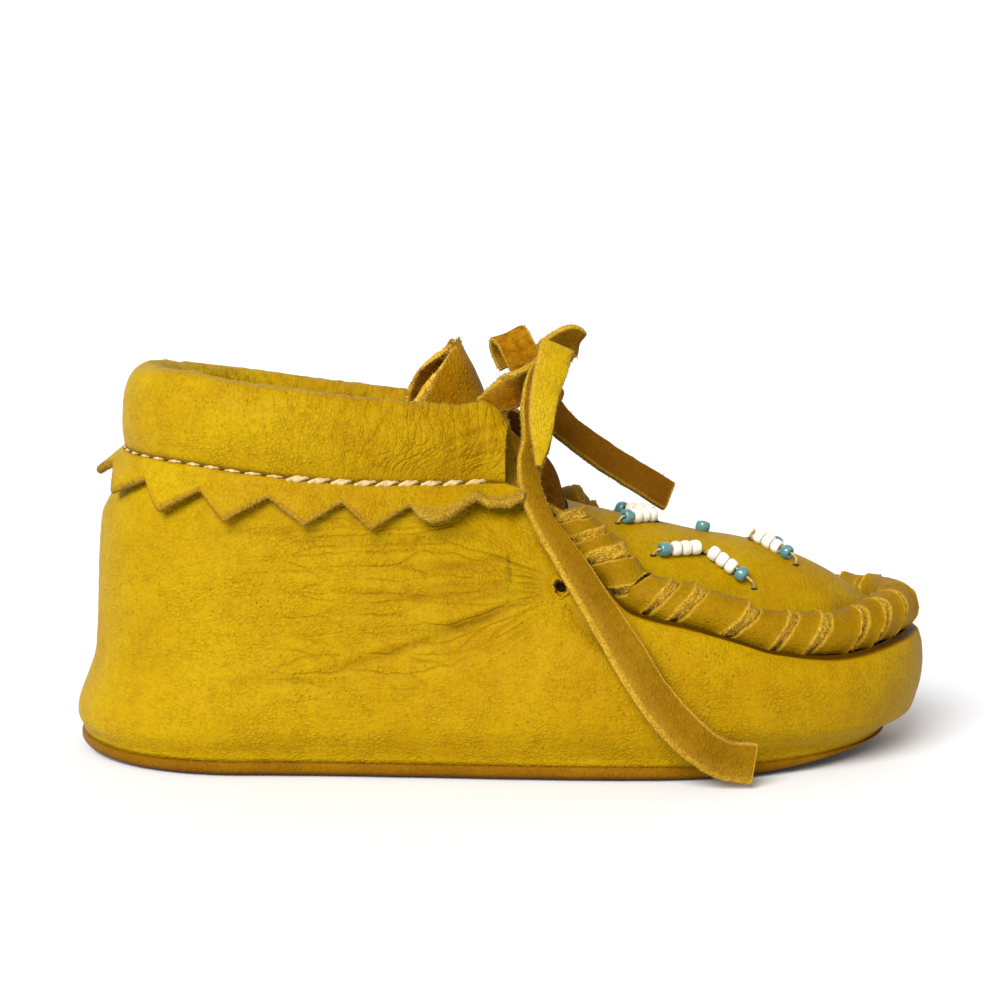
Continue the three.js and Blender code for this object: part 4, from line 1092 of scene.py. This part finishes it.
def stitchShapes():
    # Lens-shaped thread: a tube thick in the middle whose ends dive into the hide
    line = cuffPoints[:, stitchRow]
    along = lengthAlong(line)
    random = np.random.default_rng(5)
    centres = [stitch["startRoom"]]
    while centres[-1] < along[-1] - stitch["endRoom"]:
        centres.append(centres[-1] + stitch["pitch"] + random.uniform(-stitch["jitter"], stitch["jitter"]))
    centres = np.array(centres[:-1])
    count = len(centres)
    t = np.linspace(-1, 1, 13)
    turn = circle(10)
    heel = np.interp(centres, along, line[:, 0]) < stitch["fromX"]
    length = np.where(heel, stitch["heelLength"], stitch["length"])
    length = length * random.uniform(*stitch["lengths"], count)
    radius = np.where(heel, stitch["heelRadius"], stitch["radius"])
    radius = radius * random.uniform(*stitch["radii"], count)
    tilt = np.where(heel, stitch["heelTilt"], stitch["tilt"])
    tilt = tilt * random.uniform(*stitch["tilts"], count)
    at = centres[:, None] + t * length[:, None] / 2
    path = onLine(at, along, line)
    out = unit(onLine(at, along, cuffNormal[:, stitchRow]))
    side = np.cross(out, unit(np.gradient(path, axis=1)))
    path = path + (0.3 * t * (tilt * length)[:, None])[..., None] * side
    path = path + ((0.3 - 0.75 * np.abs(t) ** 3) * radius[:, None] + 0.1)[..., None] * out
    thick = radius[:, None] * np.clip(1 - np.abs(t) ** 2.2, 0.03, 1) ** 0.7
    strand = 1 + stitch["strands"] * np.cos(2 * (turn + 3.2 * t[:, None]))
    points = path[:, :, None] + turned(turn, side, 0.8 * out) * (thick[:, :, None] * strand)[..., None]
    return points, onLine(centres[:-1] + np.diff(centres) / 2, along, line)


def holeShadeLumps(centres, size):
    # Small dark lumps of painted shade where holes are, flattened spheres sunk to their middle in the hide
    turn = circle(10)
    up = np.linspace(-0.98, 0.98, 7)[:, None]
    ring = np.sqrt(1 - up**2)
    shape = xyz(ring * np.cos(turn), up, ring * np.sin(turn))
    return np.asarray(centres)[:, None, None] + shape * np.asarray(size)


stitchPoints, stitchGaps = stitchShapes()
addPiece("cuffStitches", stitchPoints, "thread", "lace_hide")
addPiece("stitchHoles", holeShadeLumps(stitchGaps, stitch["hole"]), "stitchHole", "lace_hide")
print("stitches made")

# Whipped seam: wraps end at these lengths from the throat along each side, as the photo shows them
wrapEnds = np.array([1.6, 5.4, 9.6, 15.2, 19.6, 23.4, 31.2, 37.2, 42.4, 48.6, 53.4, 58.6, 64.0])
whip = {
    "rows": 1080, "around": 48, "step": 0.7, "fall": 0.6, "bulge": 0.15, "edge": 1.5, "ridge": 0.3,
    "ragged": 0.24, "inset": 0.2, "closing": 1.2, "farShift": 1.4, "lumps": 0.05, "overrun": 4.0,
    "fineWander": 0.22, "fineCell": 1.7, "wideWander": 0.35, "wideCell": 6.0, "raggedCell": 0.5,
    "lumpCell": 2.5, "sizes": (-0.16, 0.12), "edges": (0.7, 1.35),
}


def seamLine():
    # Middle line of the seam from throat to throat round the toe, with the length to each point
    start = seamShape["startShare"] / 2
    points = rollAt(np.linspace(start, 1 - start, 800))[1]
    return lengthAlong(points), points


seamLength, seamPoints = seamLine()


def seamAt(length):
    # Point on the seam's middle line, with the ways inwards over the vamp and up
    point, ahead, behind = (onLine(length + step, seamLength, seamPoints) for step in (0, 0.4, -0.4))
    along = unit(ahead - behind)
    inward = unit(xyz(-along[..., 1], along[..., 0], 0.0))
    return point, inward, np.cross(along, inward)


def whipGrid():
    # Tube whose radius steps from wrap to wrap along slanted lines: rise, smooth band, ragged cut edge
    # and trough
    total = seamLength[-1]
    s = np.linspace(0, total, whip["rows"])
    angle = circle(whip["around"])
    point, inward, up = seamAt(s)
    way = turned(angle, inward, up)
    shell = point[:, None] + way * seamShape["radius"]
    farEnds = total - wrapEnds[::-1][1:] - whip["farShift"]
    ends = np.sort(np.concatenate([[-whip["overrun"]], wrapEnds, farEnds, [total + whip["overrun"]]]))
    local = s[:, None] - seamShape["lean"] * np.sin(angle)
    local = local + whip["fineWander"] * noise(shell, whip["fineCell"], 2)
    local = local + whip["wideWander"] * noise(shell, whip["wideCell"])
    wrap = np.clip(np.searchsorted(ends, local) - 1, 0, len(ends) - 2)
    since = local - ends[wrap]
    left = ends[wrap + 1] - local
    random = np.random.default_rng(3)
    size = random.uniform(*whip["sizes"], len(ends))[wrap]
    edge = left / (whip["edge"] * random.uniform(*whip["edges"], len(ends))[wrap])
    raw = 1 - ease(0.85, 1.1, edge)
    radius = seamShape["radius"] - whip["inset"] + size
    radius = radius - whip["step"] * (1 - ease(0.0, 0.45, since)) - whip["fall"] * (1 - ease(0.0, 1, edge))
    radius = radius + whip["bulge"] * np.clip(since / (since + left), 0, 1)
    radius = radius + whip["ridge"] * bell(edge - 0.85, 0.4)
    radius = radius + whip["ragged"] * raw * noise(shell, whip["raggedCell"], 3)
    radius = radius + whip["lumps"] * noise(shell, whip["lumpCell"], 2)
    closing = np.sqrt(np.clip(np.minimum(s, total - s) / whip["closing"], 0.03, 1))
    points = point[:, None] + way * (radius * closing[:, None])[..., None]
    # Painted shade in the trough where each wrap starts and just before its cut edge
    dark = 0.75 * bell(since, 0.3) + 0.6 * bell(left, 0.2)
    cut = np.clip(raw + 0.7 * bell(since - 0.35, 0.2), 0, 1)
    return points, raw, {"cut": cut, "flesh": 0.0, "crease": np.clip(dark, 0, 0.85)}


whipPoints, whipRaw, whipValues = whipGrid()
addPiece("whippedSeam", whipPoints, "seam", "hide", "whipped_seam", **whipValues)
print("whipped seam made")

# Vamp: domed sheet between the two sides of the whipped seam, puckered along it
vamp = {
    "rearShare": 0.562, "tipShare": 0.984, "domePower": 2.2, "edgeRise": 0.6, "edgeGap": 0.5, "rows": 190,
    "across": 120, "pucker": 0.3, "puckerReach": 2.4, "puckerCell": (2.4, 5.0, 5.0), "lumps": 0.14,
    "lumpCell": 7.0, "edgeShade": 0.7,
}
crest = np.array([
    # x, z of the dome's top line
    (8, 36), (14.8, 34.4), (23.7, 32.6), (30, 31.2), (38.6, 29.6), (44.5, 27.6), (50, 24.8), (54, 22),
    (56.8, 20.2),
])


def vampSections(count):
    # At each section from rear to tip: x, half width, height of the rim, height of the dome's top
    station, point = rollAt(np.linspace(vamp["rearShare"] / 2, vamp["tipShare"] / 2, count))
    inside = seamShape["radius"] + vamp["edgeGap"]
    x = point[:, 0] - station["outX"] * inside
    y = np.abs(point[:, 1] - station["outY"] * inside)
    rim = point[:, 2] + vamp["edgeRise"]
    return x, y, rim, np.maximum(rim, smooth(crest[:, 0], crest[:, 1], x))


vampTable = vampSections(500)


def vampZ(x, y):
    # Height of the vamp: rim plus a dome, 1 minus the power of the share across
    width, rim, top = (np.interp(x, vampTable[0], vampTable[k]) for k in (1, 2, 3))
    return rim + (top - rim) * (1 - np.abs(y / width) ** vamp["domePower"])


def vampGrid():
    # Dome over each section, rows crowded towards the seam, and its back a hide's thickness below
    x, y, rim, top = (row[:, None] for row in vampSections(vamp["rows"]))
    across = np.linspace(-1, 1, vamp["across"])
    across = np.sign(across) * (1 - (1 - np.abs(across)) ** 1.3)
    face = xyz(x, y * across, rim + (top - rim) * (1 - np.abs(across) ** vamp["domePower"]))
    normal = gridNormals(face)
    normal = normal * np.sign(normal[..., 2:].mean())
    inside = y * (1 - np.abs(across))
    pucker = vamp["pucker"] * np.exp(-inside / vamp["puckerReach"]) * noise(face, vamp["puckerCell"])
    lumps = vamp["lumps"] * noise(face, vamp["lumpCell"], 2)
    face = face + (pucker + lumps)[..., None] * normal
    back = face - hide * normal
    plain = np.zeros(inside.shape)
    values = {
        "flesh": np.concatenate([plain, plain + 1], axis=1), "cut": 0.0,
        "crease": np.concatenate([vamp["edgeShade"] * np.exp(-inside / 0.7), plain], axis=1),
    }
    return np.concatenate([face, back[:, ::-1]], axis=1), values


vampPoints, vampValues = vampGrid()
addPiece("vampDome", vampPoints, "vamp", "hide", "vamp", **vampValues)
print("vamp made")

# Tongue: a curled flap
tongueRows = np.array([
    # way up, x, z, half width, how far the near edge and the far edge swing back, how far both drop
    (0, 10.0, 34.7, 10.2, 0, 0, 0.3), (0.2, 8.7, 39.2, 10.2, 5, 5, 1.4), (0.32, 7.1, 42, 10.6, 8, 8, 1.3),
    (0.43, 3.6, 44.4, 11.2, 10, 10.5, 1.2), (0.7, -1.4, 50.2, 11.6, 10.6, 12.6, 1),
    (0.88, -4, 55.9, 8.8, 5.2, 8.4, 1), (1, -6.2, 59.7, 2.6, 0.4, 1.6, 0.8),
])
tongue = {
    "rows": 120, "across": 90, "ragged": 0.2, "raggedCell": 1.0, "lumps": 0.15, "lumpCell": 4.0,
    "edgeThinning": 0.25, "shade": 0.6, "rearShade": 0.76,
}


def tongueGrid():
    # Both edges bend back and down by the square of the way across; the foot is suede, the rear is flesh
    up = np.linspace(0, 1, tongue["rows"])
    across = np.linspace(-1, 1, tongue["across"])
    x, z, width, near, far, drop = (smooth(tongueRows[:, 0], row, up)[:, None] for row in tongueRows[:, 1:].T)
    face = xyz(x - np.where(across < 0, near, far) * across**2, width * across, z - drop * across**2)
    normal = gridNormals(face)
    normal = normal * np.sign(normal[..., 0].mean())
    up = up[:, None]
    edge = np.maximum(ease(0.86, 1, np.abs(across)), ease(0.93, 1, up))
    lumps = tongue["lumps"] * noise(face, tongue["lumpCell"], 2)
    lift = lumps + tongue["ragged"] * edge * noise(face, tongue["raggedCell"], 2)
    face = face + lift[..., None] * normal
    rear = face - (hide * (1 - tongue["edgeThinning"] * edge))[..., None] * normal
    rim = np.maximum(ease(0.95, 0.99, np.abs(across)), ease(0.95, 0.99, up))
    wideRim = np.maximum(rim, ease(-0.89, -0.96, across))
    foot = np.broadcast_to(1 - ease(0.34, 0.42, up), rim.shape)
    back = np.ones(rim.shape)
    values = {
        "cut": np.concatenate([wideRim, rim[:, ::-1]], axis=1), "flesh": np.concatenate([foot, back], axis=1),
        "crease": np.concatenate([tongue["shade"] * foot, tongue["rearShade"] * back], axis=1),
    }
    return np.concatenate([face, rear[:, ::-1]], axis=1), values


tonguePoints, tongueValues = tongueGrid()
addPiece("tongueFlap", tonguePoints, "tongue", "tongue_hide", "tongue", **tongueValues)
print("tongue made")

# Beads: each row starts at x, y on the vamp and runs in a direction in plan, in degrees
bead = {
    "radius": 1.12, "pitch": 1.55, "bore": 0.3, "lift": -0.06, "white": 3, "around": 20, "section": 16,
    "centreX": 30.2, "threadRadius": 0.17, "threadDive": 0.15, "pin": (0.55, 0.5, 0.2), "pinRise": 0.12,
    "centreSink": 0.12, "sizes": (0.95, 1.0), "lengths": (0.92, 0.98), "lean": 0.05,
}
beadRows = {
    "near_back": (28.6, -8.9, 200), "near_front": (30.0, -9.0, 336), "far_back": (28.9, 9.6, 160),
    "far_front": (30.8, 9.8, 28), "back_near": (22.8, -1.5, 217), "back_far": (22.8, 1.5, 143),
    "front_near": (37.8, -1.5, 322), "front_far": (37.8, 1.5, 38),
}


def beadSeat(x, y):
    # Middle of a bead that lies on the vamp at x, y, and the vamp's normal there
    step = 0.2
    slopeX = (vampZ(x + step, y) - vampZ(x - step, y)) / (2 * step)
    slopeY = (vampZ(x, y + step) - vampZ(x, y - step)) / (2 * step)
    normal = unit(np.array([-slopeX, -slopeY, 1.0]))
    return np.array([x, y, float(vampZ(x, y))]) + normal * (bead["radius"] + bead["lift"]), normal


def beadShape(size, long):
    # Ring of an oval section round the bore, so that the bead has its hole
    turn = circle(bead["section"])
    half = (bead["radius"] * size - bead["bore"]) / 2
    return bead["bore"] + half + half * power(np.cos(turn), 0.9), long / 2 * power(np.sin(turn), 0.88)


def addBeads(node, centres, direction, finish, slot, seed):
    # Beads along a direction: the ring of each is turned round it, a little different in size and lean
    random = np.random.default_rng(seed)
    first = unit(np.cross(direction, np.array([0.3, 0.1, 1.0])))
    way = turned(circle(bead["around"]), first, np.cross(direction, first))
    points = []
    for centre in centres:
        size = random.uniform(*bead["sizes"])
        radius, height = beadShape(size, bead["pitch"] * random.uniform(*bead["lengths"]))
        lean = direction + random.uniform(-bead["lean"], bead["lean"], 3)
        points.append(centre + radius[:, None] * way[:, None] + height[:, None] * lean)
    addPiece("glass_" + node, np.array(points), finish, slot, node, closed=True)


threadPaths = []
for seed, (name, (x, y, degrees)) in enumerate(beadRows.items()):
    angle = math.radians(degrees)
    run = bead["white"] * bead["pitch"] + gap
    length = run + bead["pitch"]
    start, startNormal = beadSeat(x, y)
    end, endNormal = beadSeat(x + math.cos(angle) * length, y + math.sin(angle) * length)
    direction = unit(end - start)
    whites = [start + direction * bead["pitch"] * (k + 0.5) for k in range(bead["white"])]
    blues = [start + direction * (run + bead["pitch"] / 2)]
    addBeads("beads_white_" + name, whites, direction, "white", "white_bead", seed)
    addBeads("bead_blue_" + name, blues, direction, "blue", "blue_bead", seed + 20)
    dive = bead["radius"] + bead["threadDive"]
    threadPaths.append([
        start - direction * 0.6 - startNormal * dive,
        start - direction * 0.3 - startNormal * 0.5,
        start,
        end,
        end + direction * 0.4 - endNormal * 0.5,
        end + direction * 0.6 - endNormal * dive,
    ])
centreSeat, centreNormal = beadSeat(bead["centreX"], 0)
centreSeat = centreSeat - centreNormal * (bead["radius"] + bead["lift"])
centreMiddle = centreSeat + centreNormal * (bead["pitch"] / 2 - bead["centreSink"])
addBeads("bead_blue_centre", [centreMiddle], centreNormal, "blue", "blue_bead", 40)
threadPaths.append([centreSeat + centreNormal * rise for rise in np.linspace(-0.3, 1.1, 6)])
print("beads made")


def threads(paths, radius, steps, around):
    # Thin tubes: a circle carried along a smooth curve through each path
    centre = throughPoints(np.array(paths), np.linspace(0, 1, steps))
    along = unit(np.gradient(centre, axis=1))
    side = unit(np.cross(along, np.array([0.31, 0.2, 0.93])))
    return centre[:, :, None] + radius * turned(circle(around), side, np.cross(side, along))


addPiece("beadThreads", threads(threadPaths, bead["threadRadius"], 36, 8), "beadThread", "white_bead")
pins = [path[k] + np.array([0, 0, bead["pinRise"]]) for path in threadPaths for k in (0, -1)]
addPiece("beadPinHoles", holeShadeLumps(pins, bead["pin"]), "hole", "white_bead")

# Fibres: short bent hairs on the raw edges, one joined mesh for all of them
fibre = {
    "radius": 0.04, "length": 0.5, "lengths": (0.3, 1.0), "root": 0.08, "floor": 0.05, "spread": 0.45,
    "curls": (0.1, 0.5), "scatter": 0.12,
}


def fibreShapes(roots, ways, lengths, seed):
    # Each hair is a thin three-sided cone in two joints, bent sideways at random
    random = np.random.default_rng(seed)
    count = len(roots)
    ways = unit(ways + random.normal(0, fibre["spread"], (count, 3)))
    bend = unit(np.cross(ways, random.normal(0, 1, (count, 3))))
    joints = np.array([0, 0.55, 1.0])
    curl = random.uniform(*fibre["curls"], count)
    path = roots[:, None] + (joints * lengths[:, None])[..., None] * ways[:, None]
    path = path + (joints**2 * (curl * lengths)[:, None])[..., None] * bend[:, None]
    ring = turned(circle(3), bend, unit(np.cross(ways, bend)))
    thick = fibre["radius"] * np.array([1.0, 0.75, 0.2])
    return path[:, :, None] + ring[:, None] * thick[:, None, None]


def pickRoots(points, weight, count, seed):
    # Points of a grid picked at random, more where the weight is higher, with the ways out of the tube there
    normals = gridNormals(points, wrapColumns=True)
    normals = normals * np.sign(np.sum(normals * (points - points.mean(axis=1, keepdims=True))))
    random = np.random.default_rng(seed)
    chance = weight.ravel() / weight.sum()
    chosen = random.choice(len(chance), count, p=chance)
    ways = normals.reshape(-1, 3)[chosen]
    jitter = random.normal(0, fibre["scatter"], (count, 3)) * (1 - np.abs(ways))
    return points.reshape(-1, 3)[chosen] + jitter, ways


def stripEdge(name, count):
    # A lace strip as a row of the list below
    return laceStrips[name]["points"], laceStrips[name]["cut"], count


fuzzyEdges = [
    # points, how raw they are, number of hairs
    (cuffPoints, cuffValues["cut"], 3600),
    (whipPoints, whipRaw, 4200),
    (tonguePoints, tongueValues["cut"], 1600),
    stripEdge("laceEndNear", 1500),
    stripEdge("laceEndFar", 400),
    stripEdge("laceLoopNear", 300),
    stripEdge("laceLoopFar", 300),
    (knotPoints, knotCut, 300),
    stripEdge("laceFold", 500),
    stripEdge("laceStrap", 700),
]
fuzz = []
for seed, (points, weight, count) in enumerate(fuzzyEdges, 50):
    roots, ways = pickRoots(points, weight, count, seed)
    lengths = fibre["length"] * np.random.default_rng(seed + 1).uniform(*fibre["lengths"], count)
    fuzz.append(fibreShapes(roots - fibre["root"] * ways, ways, lengths, seed + 2))
fuzzPoints = np.concatenate(fuzz)
fuzzPoints[..., 2] = np.maximum(fuzzPoints[..., 2], fibre["floor"])
addPiece("edgeFibres", fuzzPoints, "fibre", "hide")
print("fibres made")

# Stage: pale floor, one wide soft light from the upper left and front, white behind and low all round
stage = {
    "floorSize": 3.0, "floorColour": (0.79, 0.81, 0.88, 1), "floorDrop": 0.0001, "keyStrength": 4.45,
    "keyColour": (1, 0.995, 0.94), "keyWidthDegrees": 38, "keyFrom": (-0.36, -0.72, 0.6),
    "behind": (1.1, 1.1, 1.1, 1), "around": (0.46, 0.42, 0.36, 1),
}
floorMesh = bpy.data.meshes.new("floor")
corners = np.array([(-1, -1, 0), (1, -1, 0), (1, 1, 0), (-1, 1, 0)]) * stage["floorSize"]
floorMesh.from_pydata((corners - (0, 0, stage["floorDrop"])).tolist(), [], [(0, 1, 2, 3)])
floorMesh.materials.append(Nodes(bpy.data.materials.new("paleFloor")).finish(stage["floorColour"], 0.9))
floor = bpy.data.objects.new("floor", floorMesh)
bpy.context.scene.collection.objects.link(floor)

keyData = bpy.data.lights.new("keyLight", "SUN")
keyData.energy = stage["keyStrength"]
keyData.color = stage["keyColour"]
keyData.angle = math.radians(stage["keyWidthDegrees"])
keyLight = bpy.data.objects.new("keyLight", keyData)
keyX, keyY, keyZ = stage["keyFrom"]
keyTilt = math.atan2(math.hypot(keyX, keyY), keyZ)
keyTurn = math.atan2(-keyY, -keyX) - math.pi / 2
keyLight.rotation_euler = (keyTilt, 0, keyTurn)
keyLight.location = (keyX, keyY, keyZ)
bpy.context.scene.collection.objects.link(keyLight)

sky = Nodes(bpy.data.worlds.new("paleWorld"))
skyWay = sky.add("TexCoord", {}, "Generated")
behind = sky.ramp(sky.add("SeparateXYZ", {0: skyWay}, "Y"), 0.3, 0.8, kind="LINEAR")
low = sky.ramp(sky.add("SeparateXYZ", {0: skyWay}, "Z"), 0.3, 0.1, kind="LINEAR")
skyColour = sky.mix(sky.math("MAXIMUM", behind, low), stage["around"], stage["behind"])
sky.set(sky.tree.nodes["Background"].inputs["Color"], skyColour)
bpy.context.scene.world = sky.owner
